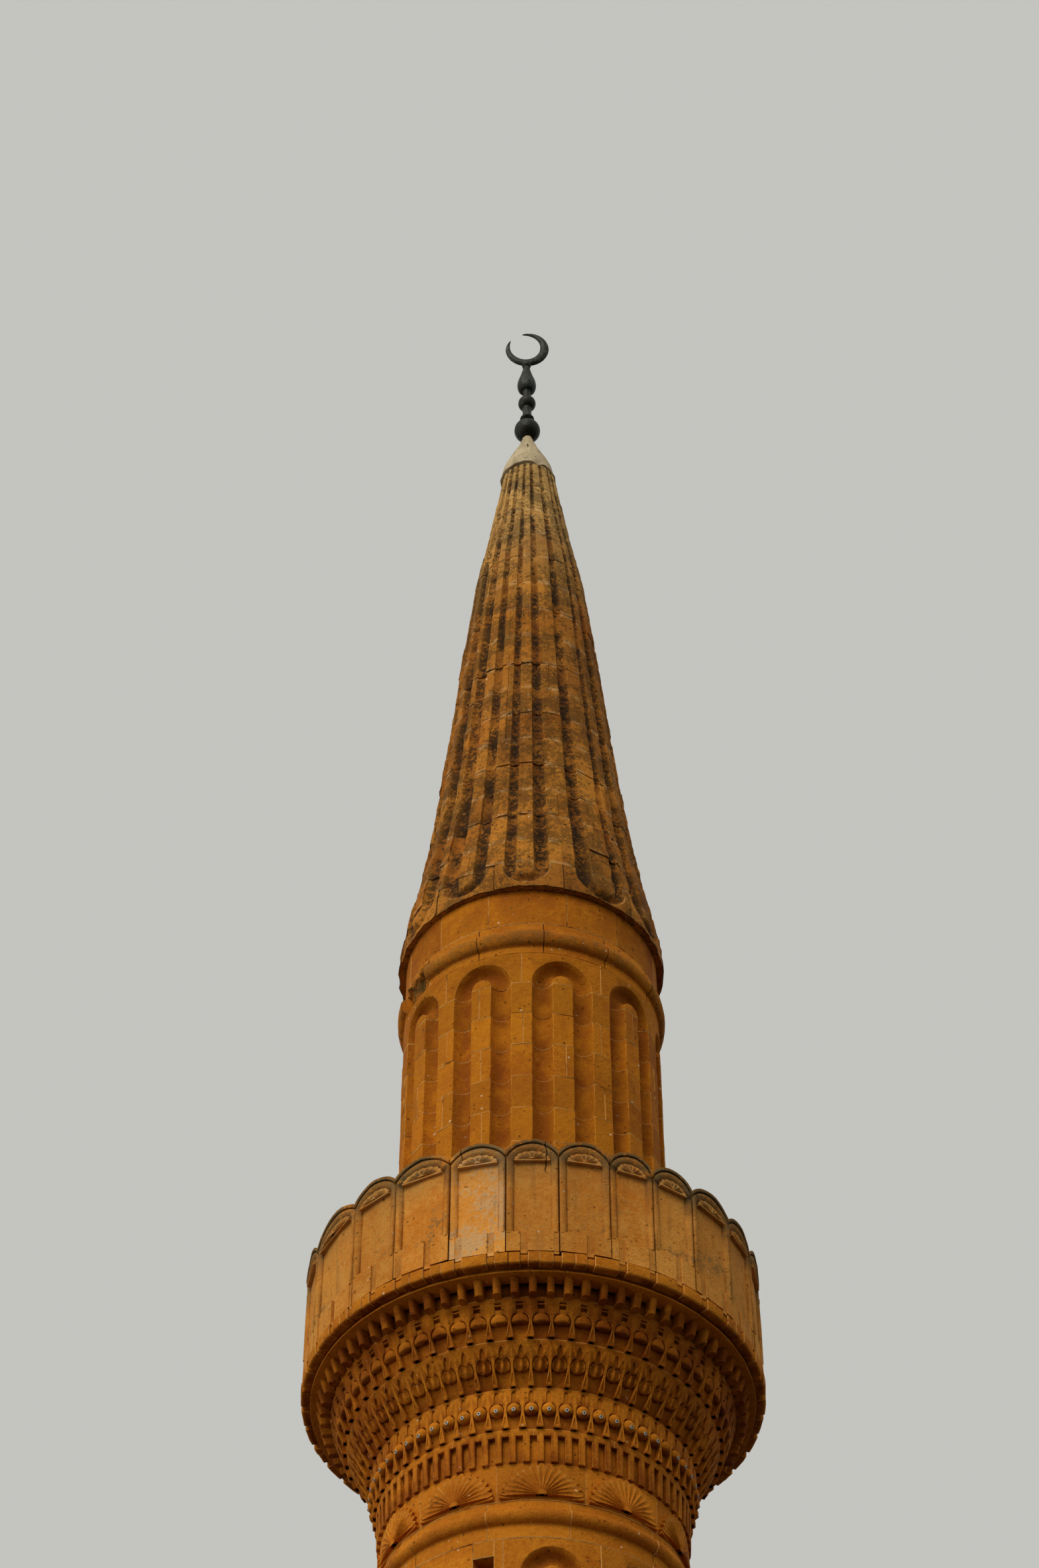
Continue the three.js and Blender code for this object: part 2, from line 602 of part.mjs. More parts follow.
function buildFinial() {
  const group = new THREE.Group();
  const put = (name, solid) => group.add(meshOf(name, solid, MATERIAL.bronze));
  const lathe = (outline) => turned(onAxis(outline), BALL_SIDES);
  const capTop = CAP.top + GAP;
  const ballFoot = -Math.asin((BIG_BALL.centre - capTop) / BIG_BALL.radius) * (180 / Math.PI);
  const bigBall = ballOutline(BIG_BALL, ballFoot, BIG_BALL.flat);
  put('finial_ball', lathe(bigBall));

  const middle = ballOutline(MIDDLE_BALL, -MIDDLE_BALL.flat, MIDDLE_BALL.flat);
  const discSeat = bigBall.at(-1)[1] + GAP;
  const discTop = middle[0][1] - GAP;
  put('finial_disc', lathe([[DISC.rim, discSeat], [DISC.neck, DISC.flareTop], [DISC.neck, discTop]]));
  put('finial_middle_ball', lathe([...middle, [MIDDLE_BALL.neck, MIDDLE_BALL.neckTop]]));

  const { seat, shoulder, shoulderRise, belly, bellyHeight, waist, waistHeight, neck } = PEAR;
  const pearSeat = MIDDLE_BALL.neckTop + GAP;
  const pearTop = ballOutline(COLLAR, -COLLAR.flat, COLLAR.flat)[0][1] - GAP;
  const pear = [[seat, pearSeat], [shoulder, pearSeat + shoulderRise], [belly, bellyHeight]];
  put('finial_pear', lathe([...pear, [waist, waistHeight], [neck, pearTop]]));
  put('finial_crescent', crescentWithCollar());
  return group;
}

// The crescent stands in its small collar ball, cast in one piece with it.
function crescentWithCollar() {
  const shape = new THREE.Shape(crescentOutline().map(([x, z]) => new THREE.Vector2(x, z)));
  const geometry = new THREE.ExtrudeGeometry(shape, { depth: CRESCENT.depth, bevelEnabled: false });
  geometry.rotateX(Math.PI / 2).translate(0, CRESCENT.depth / 2, 0);
  const collar = ballOutline(COLLAR, -COLLAR.flat, COLLAR.flat);
  return solidOf(geometry).add(turned(onAxis(collar), BALL_SIDES));
}

const minaret = new THREE.Group();
minaret.add(buildBase(), buildShaft(), buildCorbel(), buildBalcony());
minaret.add(buildDrum(), buildSpire(), buildFinial());

export default minaret;
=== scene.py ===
"""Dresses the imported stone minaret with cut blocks, carving and weathered finishes.

Lengths are metres in the part's frame: +Z up, the photographed side towards -Y.
Azimuths are degrees, 0 towards -Y and growing towards +X. Stones are cut flat, with
x along the wall, y into it and z up, and are then wrapped round the tower's axis.
"""

from __future__ import annotations

import itertools
import logging
import math
import random
from collections.abc import Callable, Iterable, Iterator, Sequence
from dataclasses import dataclass, field, replace
from enum import Enum

import bmesh
import bpy
from bmesh.types import BMEdge, BMesh, BMFace, BMVert
from mathutils import Matrix, Vector, noise

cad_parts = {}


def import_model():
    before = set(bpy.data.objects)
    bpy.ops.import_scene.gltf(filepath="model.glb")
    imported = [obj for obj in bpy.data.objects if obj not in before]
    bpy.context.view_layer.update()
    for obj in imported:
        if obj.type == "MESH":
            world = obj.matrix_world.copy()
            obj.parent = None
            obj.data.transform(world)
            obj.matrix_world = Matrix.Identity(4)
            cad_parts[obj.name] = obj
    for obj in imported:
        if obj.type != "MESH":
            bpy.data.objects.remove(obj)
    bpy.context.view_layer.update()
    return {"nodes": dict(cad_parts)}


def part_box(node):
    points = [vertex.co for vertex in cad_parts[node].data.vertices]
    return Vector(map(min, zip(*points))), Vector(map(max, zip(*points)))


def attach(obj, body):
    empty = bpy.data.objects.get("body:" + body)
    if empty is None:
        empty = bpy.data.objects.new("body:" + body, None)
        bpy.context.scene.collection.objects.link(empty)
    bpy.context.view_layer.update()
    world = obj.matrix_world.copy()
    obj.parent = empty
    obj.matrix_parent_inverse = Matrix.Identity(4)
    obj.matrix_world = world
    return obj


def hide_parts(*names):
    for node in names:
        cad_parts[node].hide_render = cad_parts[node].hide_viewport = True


LOG = logging.getLogger("minaret")

Point = tuple[float, float]
Triple = tuple[float, float, float]

# Radius of the bore through the shaft and the drum
BORE = 0.79
# A flat-cut vertex with this y lies on the back of its stone
BACK = 10.0
# Edges sharper than this are worn, and faces meeting flatter than it shade smoothly
ARRIS_ANGLE = math.radians(36)
# Faces whose normals point further down than this are undersides
DOWNWARD = -0.55
# Points closer than WELD are one, a length under SHORT counts as none, and TINY keeps a
# divisor off 0
WELD = 1e-5
SHORT = 1e-4
TINY = 1e-6

# Marks of the bevelled faces: a worn arris, a block's lit upper edge, the joint that it
# is bedded on and its upright joints
ARRIS = 0.25
LIT_EDGE = 0.5
BED_JOINT = 0.75
OPEN_JOINT = 1.0
# Tones lie from 0 to 1, apart from the one of a stone with old wash on it. Hollow marks
# gather dirt and painted shade from 0 to 1 and near-black painted shadow, with a few dark
# stains, from 1 to 2, and below 0 they wear pale.
MIDDLE_TONE = 0.5
WASHED_TONE = 1.5


class Slot(Enum):
    """The record's material slots."""

    BASE = "base_stone"
    OCHRE = "ochre_stone"
    PARAPET = "parapet_stone"
    SPIRE = "spire_stone"
    CAP = "cap_stone"
    BRONZE = "bronze"


def interpolate(table: Sequence[Point], at: float) -> float:
    """Value of a piecewise straight line.

    Args:
        table: (position, value) pairs in rising order of position.
        at: Position to read.

    Returns:
        The value there, held level past both ends.
    """
    if at <= table[0][0]:
        return table[0][1]
    for (low, low_value), (high, high_value) in zip(table, table[1:]):
        if at <= high:
            return low_value + (high_value - low_value) * (at - low) / (high - low)
    return table[-1][1]


def spread(start: float, end: float, count: int) -> list[float]:
    """Returns count + 1 even steps from start to end."""
    return [start + (end - start) * i / count for i in range(count + 1)]


@dataclass(frozen=True)
class Shell:
    """A round wall that flat-cut stones are wrapped onto.

    Attributes:
        face: (height, radius) pairs of the outer face.
        back: (height, radius) pairs of the inner face.
        reference: Radius at which x is an arc length.
        tapers: Whether relief shrinks with the face's radius.
    """

    face: tuple[Point, ...]
    back: tuple[Point, ...]
    reference: float
    tapers: bool = False

    @classmethod
    def upright(cls, radius: float, inner: float = BORE) -> Shell:
        """Returns a wall with an upright face and an upright back."""
        return cls(((0.0, radius),), ((0.0, inner),), radius)

    def place(self, x: float, y: float, z: float) -> Vector:
        """Place of a flat-cut point on the tower.

        Args:
            x: Distance along the wall at the reference radius.
            y: Depth behind the face, or BACK on the inner face.
            z: Height.

        Returns:
            The point in the part's frame.
        """
        radius = interpolate(self.face, z)
        if y > BACK / 2:
            radius = interpolate(self.back, z)
        elif self.tapers:
            radius -= y * radius / self.reference
        else:
            radius -= y
        angle = x / self.reference
        return Vector((radius * math.sin(angle), -radius * math.cos(angle), z))

    def along(self, azimuth: float) -> float:
        """Returns the flat-cut x of an azimuth."""
        return math.radians(azimuth) * self.reference

    def around(self, azimuths: Iterable[float]) -> list[float]:
        """Returns the flat-cut x of each azimuth, and of the first a full turn on."""
        places = [self.along(azimuth) for azimuth in azimuths]
        return [*places, places[0] + self.along(360)]


@dataclass
class Stonework:
    """A mesh in the making, with the marks that its finish reads.

    Attributes:
        name: Name of the object that it becomes.
        seed: Seed of its own random stream.
        bm: The mesh.
    """

    name: str
    seed: int = 1
    bm: BMesh = field(default_factory=bmesh.new)

    def __post_init__(self) -> None:
        """Adds the marks: a tone for each stone, hollows and worn edges, and joints."""
        self.tone = self.bm.verts.layers.float.new("tone")
        self.hollow = self.bm.verts.layers.float.new("hollow")
        self.joint = self.bm.faces.layers.float.new("joint")
        self.random = random.Random(self.seed)

    def vertex(self, point: Sequence[float], tone: float, hollow: float = 0.0) -> BMVert:
        """Adds a marked vertex.

        Args:
            point: Flat-cut place.
            tone: The stone's tone.
            hollow: Its hollow mark.

        Returns:
            The new vertex.
        """
        vertex = self.bm.verts.new(point)
        vertex[self.tone] = tone
        vertex[self.hollow] = hollow
        return vertex

    def outline(self, points: Iterable[Sequence[float]], tone: float) -> BMFace:
        """Adds a face over an outline.

        Args:
            points: Corners, each x, y, z and optionally its hollow mark.
            tone: The stone's tone.

        Returns:
            The new face.
        """
        return self.bm.faces.new([self.vertex(p[:3], tone, p[3] if len(p) > 3 else 0.0) for p in points])

    def extrude(self, faces: Sequence[BMFace], by: Vector) -> list[BMFace]:
        """Extrudes faces and moves what comes out.

        Args:
            faces: Faces to extrude.
            by: Distance to move them.

        Returns:
            The moved faces.
        """
        edges = {edge for face in faces for edge in face.edges}
        corners = {vertex for face in faces for vertex in face.verts}
        made = bmesh.ops.extrude_face_region(self.bm, geom=[*faces, *edges, *corners])["geom"]
        moved = [item for item in made if isinstance(item, BMVert)]
        bmesh.ops.translate(self.bm, verts=moved, vec=by)
        return [item for item in made if isinstance(item, BMFace)]

    def absorb(self, other: Stonework) -> None:
        """Joins a finished stonework into this one and frees it."""
        mesh = bpy.data.meshes.new("absorbed")
        other.bm.to_mesh(mesh)
        self.bm.from_mesh(mesh)
        bpy.data.meshes.remove(mesh)
        other.bm.free()

    def repeat(self, unit: Stonework, places: Iterable[float]) -> None:
        """Adds copies of a stonework along the wall, each with a tone of its own, and frees it."""
        mesh = bpy.data.meshes.new("unit")
        unit.bm.to_mesh(mesh)
        unit.bm.free()
        at = 0.0
        for x in places:
            mesh.transform(Matrix.Translation((x - at, 0, 0)))
            at = x
            start = len(self.bm.verts)
            self.bm.from_mesh(mesh)
            self.bm.verts.ensure_lookup_table()
            tone = self.random.random()
            for vertex in self.bm.verts[start:]:
                vertex[self.tone] = tone
        bpy.data.meshes.remove(mesh)

    def slab(
        self, outline: Iterable[Point], front: float, back: float, tone: float = MIDDLE_TONE, hollow: float = 0.0
    ) -> None:
        """Adds a plate over an upright outline.

        Args:
            outline: (x, z) corners.
            front: Depth of its face.
            back: Depth of its back.
            tone: The stone's tone.
            hollow: Its hollow mark.
        """
        face = self.outline([(x, front, z, hollow) for x, z in outline], tone)
        self.extrude([face], Vector((0, back - front, 0)))

    def relief(self, rows: Sequence[Sequence[Sequence[float]]], back: float, tone: float = MIDDLE_TONE) -> None:
        """Adds a closed solid with a grid of points as its face.

        Args:
            rows: Rows of points, each x, y, z and its hollow mark.
            back: Depth of its flat back.
            tone: The stone's tone.
        """
        grid = [[self.vertex(point[:3], tone, point[3]) for point in row] for row in rows]
        for row, after in zip(grid, grid[1:]):
            for corners in zip(row, row[1:], after[1:], after):
                self.bm.faces.new(corners)
        rim = {edge for row in grid for vertex in row for edge in vertex.link_edges if edge.is_boundary}
        made = bmesh.ops.extrude_edge_only(self.bm, edges=list(rim))["geom"]
        sunk = {item for item in made if isinstance(item, BMVert)}
        for vertex in sunk:
            vertex.co.y = back
        last = [e for e in made if isinstance(e, BMEdge) and e.verts[0] in sunk and e.verts[1] in sunk]
        bmesh.ops.contextual_create(self.bm, geom=last)

    def turned(self, profile: Sequence[Point], steps: int, back: float = 0.0, squash: float = 1.0) -> None:
        """Adds a round body turned about an upright axis.

        Args:
            profile: (radius, height) from its top to its bottom, on the axis at both ends.
            steps: Facets round it.
            back: Depth of its axis.
            squash: Scale of its depth.
        """
        line = [self.vertex((radius, 0, z), MIDDLE_TONE) for radius, z in profile]
        edges = [self.bm.edges.new(pair) for pair in zip(line, line[1:])]
        start = {*self.bm.verts} - {*line}
        bmesh.ops.spin(
            self.bm, geom=[*line, *edges], cent=(0, 0, 0), axis=(0, 0, 1), angle=math.tau,
            steps=steps, use_merge=True, use_duplicate=False, use_normal_flip=False,
        )
        body = [vertex for vertex in self.bm.verts if vertex not in start]
        bmesh.ops.remove_doubles(self.bm, verts=body, dist=WELD)
        for vertex in self.bm.verts:
            if vertex not in start:
                vertex.co.y = back + vertex.co.y * squash

    def mark(self, amount: float, where: Callable[[Vector], bool] | None = None) -> None:
        """Sets the hollow mark of some vertices or of all.

        Args:
            amount: The mark.
            where: Tells from a vertex's place whether it is one of them.
        """
        for vertex in self.bm.verts:
            if where is None or where(vertex.co):
                vertex[self.hollow] = amount

    def mark_at_least(self, amount: float) -> None:
        """Raises the hollow marks that lie below an amount."""
        for vertex in self.bm.verts:
            vertex[self.hollow] = max(vertex[self.hollow], amount)

    def paint_underside_shade(self, amount: float) -> None:
        """Marks the faces that look down dark, as painted shade under them."""
        self.bm.normal_update()
        for face in self.bm.faces:
            if face.normal.z < DOWNWARD:
                for vertex in face.verts:
                    vertex[self.hollow] = max(vertex[self.hollow], amount)

    def wear(self, edges: Sequence[BMEdge], width: float) -> list[BMFace]:
        """Bevels edges.

        Args:
            edges: Edges to bevel.
            width: Width of the bevel.

        Returns:
            The new faces.
        """
        made = bmesh.ops.bevel(
            self.bm, geom=list(edges), offset=width, offset_type="OFFSET", segments=1,
            profile=0.5, affect="EDGES", clamp_overlap=True, material=-1,
        )
        return made["faces"]

    def sharp_front_edges(self) -> list[BMEdge]:
        """Returns the sharp edges that don't touch the stones' backs."""
        return [
            edge for edge in self.bm.edges
            if len(edge.link_faces) == 2
            and edge.verts[0].co.y < BACK / 2
            and edge.verts[1].co.y < BACK / 2
            and edge.calc_face_angle(0.0) > ARRIS_ANGLE
        ]

    def shift(self, by: Triple) -> None:
        """Moves the whole stonework by a distance."""
        bmesh.ops.translate(self.bm, verts=self.bm.verts[:], vec=by)

    def move(self, place: Callable[[float, float, float], Vector]) -> None:
        """Moves every vertex to where a function places it."""
        for vertex in self.bm.verts:
            vertex.co = place(*vertex.co)

    def turn_out(self) -> None:
        """Turns the faces of every closed stone outwards."""
        bmesh.ops.recalc_face_normals(self.bm, faces=self.bm.faces[:])

    def finish(self, material: bpy.types.Material, slot: Slot, nodes: Sequence[str]) -> bpy.types.Object:
        """Makes the object, dresses it and sets it in the frame.

        Args:
            material: Finish.
            slot: The record's slot that the finish answers to.
            nodes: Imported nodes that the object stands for.

        Returns:
            The new object.
        """
        bmesh.ops.dissolve_degenerate(self.bm, dist=WELD, edges=self.bm.edges[:])
        mesh = bpy.data.meshes.new(self.name)
        self.bm.to_mesh(mesh)
        self.bm.free()
        return settle(self.name, mesh, material, slot, nodes)


def settle(
    name: str, mesh: bpy.types.Mesh, material: bpy.types.Material, slot: Slot, nodes: Sequence[str]
) -> bpy.types.Object:
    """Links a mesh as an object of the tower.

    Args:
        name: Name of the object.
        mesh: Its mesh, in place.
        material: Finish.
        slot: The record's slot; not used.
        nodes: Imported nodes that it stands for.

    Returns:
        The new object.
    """
    mesh.shade_smooth()
    mesh.set_sharp_from_angle(angle=ARRIS_ANGLE)
    mesh.materials.append(material)
    piece = bpy.data.objects.new(name, mesh)
    bpy.context.scene.collection.objects.link(piece)
    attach(piece, "root")
    if nodes:
        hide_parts(*nodes)
    triangles = sum(len(polygon.vertices) - 2 for polygon in mesh.polygons)
    LOG.info("%s: %d triangles", name, triangles)
    return piece


@dataclass(frozen=True)
class Relief:
    """The plan line of a wall's face, with flutes sunk into it.

    Attributes:
        flutes: (centre, half width, depth) of each flute along the wall, in rising order.
        steps: Facets across a flute.
        facet: Widest facet of the plain face.
    """

    flutes: tuple[Triple, ...] = ()
    steps: int = 8
    facet: float = 0.11

    def flute(self, centre: float, half: float, depth: float) -> list[Triple]:
        """Returns (x, y, hollow) across one flute, from rim to rim; the hollow mark grows with the depth, for dirt and
        painted shade in the flute.
        """
        angles = spread(math.pi, 0.0, self.steps)
        return [(centre + half * math.cos(a), depth * math.sin(a), math.sin(a)) for a in angles]

    def between(self, left: float, right: float) -> list[Triple]:
        """Plan line between two places.

        Args:
            left: Start along the wall.
            right: End along the wall.

        Returns:
            (x, y, hollow) of each corner.
        """
        line: list[Triple] = []
        for centre, half, depth in self.flutes:
            if left - half < centre < right + half:
                line += self.flute(centre, half, depth)
        line = [(left - 1.0, 0.0, 0.0), *line, (right + 1.0, 0.0, 0.0)]
        cut: list[Triple] = []
        for (x0, y0, h0), (x1, y1, h1) in zip(line, line[1:]):
            low, high = max(x0, left), min(x1, right)
            if high - low < SHORT:
                continue
            parts = max(1, math.ceil((high - low) / self.facet)) if y0 == y1 else 1
            for x in spread(low, high, parts):
                share = (x - x0) / (x1 - x0)
                if not cut or x - cut[-1][0] > SHORT:
                    cut.append((x, y0 + (y1 - y0) * share, h0 + (h1 - h0) * share))
        return cut


@dataclass(frozen=True)
class Weather:
    """How uneven a wall's stones are.

    Attributes:
        jog: Distance that a stone may stand in or out.
        sway: Waviness of the level joints.
        pit: Unevenness of the faces.
        grain: Length of the unevenness.
        groove: Width of the bevel at the joints.
        worn: How pale the stones' lower and upper edges have worn.
    """

    jog: float = 0.003
    sway: float = 0.003
    pit: float = 0.0025
    grain: float = 0.12
    groove: float = 0.005
    worn: float = 0.0


RING_WEATHER = Weather(jog=0.002, sway=0.002, pit=0.003)


@dataclass
class Masonry:
    """Lays courses of blocks onto a round wall.

    Attributes:
        work: Stonework that the blocks end in.
        shell: Wall that they are wrapped onto.
        relief: Plan line of their faces.
        weather: How uneven they are.
        row: Height of the face rows.
        back_step: Longest step along their backs.
    """

    work: Stonework
    shell: Shell | Side | Shoulder
    relief: Relief
    weather: Weather
    row: float = 0.12
    back_step: float = 0.2

    def lay(self, bottom: float, top: float, joints: Sequence[float], skip: Sequence[int] = ()) -> None:
        """Lays one course.

        Args:
            bottom: Height of its bed.
            top: Height of its top.
            joints: Places of the upright joints along the wall, from left to right.
            skip: Numbers of the blocks left out.
        """
        course = Stonework("course")
        faces = []
        for number, (left, right) in enumerate(zip(joints, joints[1:])):
            if number in skip:
                continue
            front = [(x, y, bottom, hollow) for x, y, hollow in self.relief.between(left, right)]
            steps = max(1, math.ceil((right - left) / self.back_step))
            back = [(x, BACK, bottom) for x in spread(right, left, steps)]
            faces.append(course.outline([*front, *back], self.work.random.random()))
        rows = max(1, round((top - bottom) / self.row))
        for _ in range(rows):
            faces = course.extrude(faces, Vector((0, 0, (top - bottom) / rows)))
        if self.weather.worn:
            for vertex in course.bm.verts:
                near = min(vertex.co.z - bottom, top - vertex.co.z)
                if near < SHORT and vertex[course.hollow] < 0.5:
                    vertex[course.hollow] = -self.weather.worn
        course.turn_out()
        self.set_in(course, joints)

    def set_in(self, stones: Stonework, joints: Sequence[float], beds: Sequence[float] | None = None) -> None:
        """Wears flat-cut stones, wraps them onto the wall and keeps them.

        Args:
            stones: Closed stones in flat-cut places.
            joints: Places of their upright joints.
            beds: Heights of their level joints; by default their lowest and highest edges.
        """
        groove = self.weather.groove
        if beds is None:
            heights = [vertex.co.z for vertex in stones.bm.verts]
            beds = (min(heights), max(heights))

        def near(at: float, places: Sequence[float]) -> bool:
            return any(abs(at - place) < groove for place in places)

        for face in stones.wear(stones.sharp_front_edges(), groove):
            centre = face.calc_center_median()
            face[stones.joint] = ARRIS
            if near(centre.z, beds[1:]):
                face[stones.joint] = LIT_EDGE
            if near(centre.z, beds[:1]):
                face[stones.joint] = BED_JOINT
            if near(centre.x, joints):
                face[stones.joint] = OPEN_JOINT
        self.weather_faces(stones)
        stones.move(self.shell.place)
        self.work.absorb(stones)

    def weather_faces(self, stones: Stonework) -> None:
        """Moves the faces of flat-cut stones in and out, and sways their beds."""
        weather = self.weather
        for vertex in stones.bm.verts:
            x, y, z = vertex.co
            place = Vector((x, z, self.work.seed)) / weather.grain
            sway = weather.sway * noise.noise(Vector((x * 3.0, z * 5.0, self.work.seed + 7.0)))
            if y < BACK / 2:
                jog = (math.fmod(vertex[stones.tone] * 57.3, 1.0) - 0.5) * 2 * weather.jog
                pit = noise.fractal(place, 0.9, 2.1, 3) * weather.pit
                y += jog + pit
            vertex.co = (x, y, z + sway)


def bonded_joints(
    shell: Shell, candidates: Sequence[float], course: int, stream: random.Random, drift: float = 1.0,
    dropped: float = 0.2,
) -> list[float]:
    """Upright joints of a course, broken over the course below.

    Args:
        shell: Wall that the course belongs to.
        candidates: Azimuths where joints may stand, from -180 to 180.
        course: Number of the course.
        stream: Random stream.
        drift: Degrees that a joint may move.
        dropped: Share of the joints left out.

    Returns:
        Places along the wall, with the first repeated a full turn on.
    """
    chosen = [azimuth for i, azimuth in enumerate(candidates) if (i + course) % 2 == 0]
    kept = [chosen[0]]
    for azimuth in chosen[1:]:
        if stream.random() > dropped or azimuth - kept[-1] > 40:
            kept.append(azimuth + stream.uniform(-drift, drift))
    return shell.around(kept)


def bay_relief(shell: Shell, bays: Sequence[float], flute: float, turns: Sequence[int]) -> Relief:
    """Plan line of a wall with a flute on each side of every bay's rib.

    Args:
        shell: The wall.
        bays: Azimuths of the ribs.
        flute: Degrees across a flute and across a rib.
        turns: Full turns in degrees that the bays are repeated at, in rising order.

    Returns:
        The plan line.
    """
    half = shell.along(flute / 2)
    return Relief(tuple(
        (shell.along(bay + turn + side * flute), half, half) for turn in turns for bay in bays for side in (-1, 1)
    ))


@dataclass(frozen=True)
class ArchHead:
    """The head of a bay, where its two flutes meet in a channel bent round the rib's end.

    Attributes:
        rib: Half width of the rib.
        left: Width of the flute on the left.
        right: Width of the flute on the right.
        over: Width of the channel past the rib's end.
        depth: Depth of the channel.
        blunt: Share by which the rib's end slopes gently into the channel.
        rays: Steps of the half turn.
        rungs: Steps across the channel.
    """

    rib: float
    left: float
    right: float
    over: float
    depth: float
    blunt: float = 0.0
    rays: int = 12
    rungs: int = 8

    def cut(self, centre: Point, bed: float, far: float, sides: Point, tone: float) -> Stonework:
        """Cuts the block that holds the head, flat and closed.

        Args:
            centre: Place along the wall and height of the head's centre.
            bed: Height where the flutes enter the block.
            far: Height of the opposite bed.
            sides: Distance from the centre to the left and right joints.
            tone: The stone's tone.

        Returns:
            The closed stone.
        """
        stone = Stonework("arch head")
        x, z = centre
        rise = 1.0 if far > bed else -1.0
        radii = [0.0, self.rib, *(self.rib + self.over * step for step in spread(0.0, 1.0, self.rungs)[1:])]
        ray = [stone.vertex((x + radius, 0.0, z), tone) for radius in radii]
        edges = [stone.bm.edges.new(pair) for pair in zip(ray, ray[1:])]
        bmesh.ops.spin(
            stone.bm, geom=[*ray, *edges], cent=(x, 0, z), axis=(0, -rise, 0), angle=math.pi,
            steps=self.rays, use_merge=False, use_duplicate=False, use_normal_flip=False,
        )
        bmesh.ops.remove_doubles(stone.bm, verts=stone.bm.verts[:], dist=WELD)
        self.spread_to_joints(stone, centre, far, sides)
        for vertex in stone.bm.verts:
            self.sink(stone, vertex, centre)
        level = [e for e in stone.bm.edges if e.is_boundary and self.is_level(e, z)]
        self.push(stone, level, lambda co: Vector((co.x, co.y, bed)))
        rim = [edge for edge in stone.bm.edges if edge.is_boundary]
        last = self.push(stone, rim, lambda co: Vector((co.x, BACK, co.z)))
        bmesh.ops.contextual_create(stone.bm, geom=last)
        stone.turn_out()
        return stone

    @staticmethod
    def is_level(edge: BMEdge, height: float) -> bool:
        """Tells whether an edge lies at a height."""
        return all(abs(vertex.co.z - height) < WELD for vertex in edge.verts)

    @staticmethod
    def push(stone: Stonework, edges: Sequence[BMEdge], place: Callable[[Vector], Vector]) -> list[BMEdge]:
        """Extrudes edges and places the new vertices.

        Args:
            stone: Stonework they belong to.
            edges: Edges to extrude.
            place: New place from the old one.

        Returns:
            The new far edges.
        """
        made = bmesh.ops.extrude_edge_only(stone.bm, edges=edges)["geom"]
        moved = [item for item in made if isinstance(item, BMVert)]
        for vertex in moved:
            vertex.co = place(vertex.co)
        fresh = set(moved)
        return [e for e in made if isinstance(e, BMEdge) and e.verts[0] in fresh and e.verts[1] in fresh]

    def spread_to_joints(self, stone: Stonework, centre: Point, far: float, sides: Point) -> None:
        """Fills the face from the channel's outer line to the block's edges.

        Args:
            stone: The block.
            centre: Place along the wall and height of the head's centre.
            far: Height of the block's far bed.
            sides: Distance from the centre to the left and right joints.
        """
        x, z = centre
        middle = Vector((x, 0, z))
        outer = self.rib + self.over
        rim = [
            edge for edge in stone.bm.edges
            if edge.is_boundary and all(abs((v.co - middle).length - outer) < SHORT for v in edge.verts)
        ]
        reach = abs(far - z)
        corner = 1.0 + 1.4 * math.pi / self.rays

        def to_edge(co: Vector) -> Vector:
            across, up = co.x - x, abs(co.z - z)
            half = sides[0] if across < 0 else sides[1]
            steps = half / max(abs(across), TINY), reach / max(up, TINY)
            scale = min(steps)
            if max(steps) / scale < corner:
                return Vector((x + math.copysign(half, across), 0.0, far))
            return Vector((x + across * scale, 0.0, z + (co.z - z) * scale))

        self.push(stone, rim, to_edge)

    def sink(self, stone: Stonework, vertex: BMVert, centre: Point) -> None:
        """Sinks a vertex of the channel and widens the channel towards the flutes; its hollow mark follows the
        channel's floor, for dirt and painted shade.
        """
        x, z = centre
        across, up = vertex.co.x - x, vertex.co.z - z
        radius = math.hypot(across, up)
        share = (radius - self.rib) / self.over
        if not -SHORT < share < 1.0 + SHORT or radius < self.rib / 2:
            return
        share = min(max(share, 0.0), 1.0)
        upright = abs(up) / radius
        beside = self.left if across < 0 else self.right
        width = beside + (self.over - beside) * upright
        round_floor = math.sqrt(max(0.0, 1.0 - (2.0 * share - 1.0) ** 2))
        gentle_floor = math.sin(math.pi * share**1.6)
        blend = self.blunt * upright
        floor = round_floor + (gentle_floor - round_floor) * blend
        scale = (self.rib + share * width) / radius
        vertex.co = (x + across * scale, self.depth * floor, z + up * scale)
        vertex[stone.hollow] = floor


@dataclass(frozen=True)
class Moulding:
    """A level band with a worked profile.

    Attributes:
        profile: (depth, height) of its face from the bed up; depth is below 0 where it stands proud.
        facet: Longest step along the wall.
        grown: Hollow mark of a roll, which lichen grows on.
    """

    profile: tuple[Point, ...]
    facet: float = 0.1
    grown: float = 0.45

    def cut(self, joints: Sequence[float], stream: random.Random) -> Stonework:
        """Cuts a run of stones between upright joints, flat and closed."""
        return self.cut_spans(zip(joints, joints[1:]), stream)

    def cut_roll(self, joints: Sequence[float], stream: random.Random) -> Stonework:
        """Cuts a run of stones whose proud roll carries lichen."""
        stones = self.cut(joints, stream)
        stones.mark(self.grown, lambda co: co.y < -0.005)
        return stones

    def cut_spans(self, spans: Iterable[Point], stream: random.Random) -> Stonework:
        """Cuts single stones, flat and closed.

        Args:
            spans: Left and right end of each stone along the wall.
            stream: Random stream for the tones.

        Returns:
            The closed stones.
        """
        band = Stonework("moulding")
        low, high = self.profile[0][1], self.profile[-1][1]
        for left, right in spans:
            front = [(left, y, z) for y, z in self.profile]
            faces = [band.outline([*front, (left, BACK, high), (left, BACK, low)], stream.random())]
            steps = max(1, math.ceil((right - left) / self.facet))
            for _ in range(steps):
                faces = band.extrude(faces, Vector(((right - left) / steps, 0, 0)))
        band.turn_out()
        return band


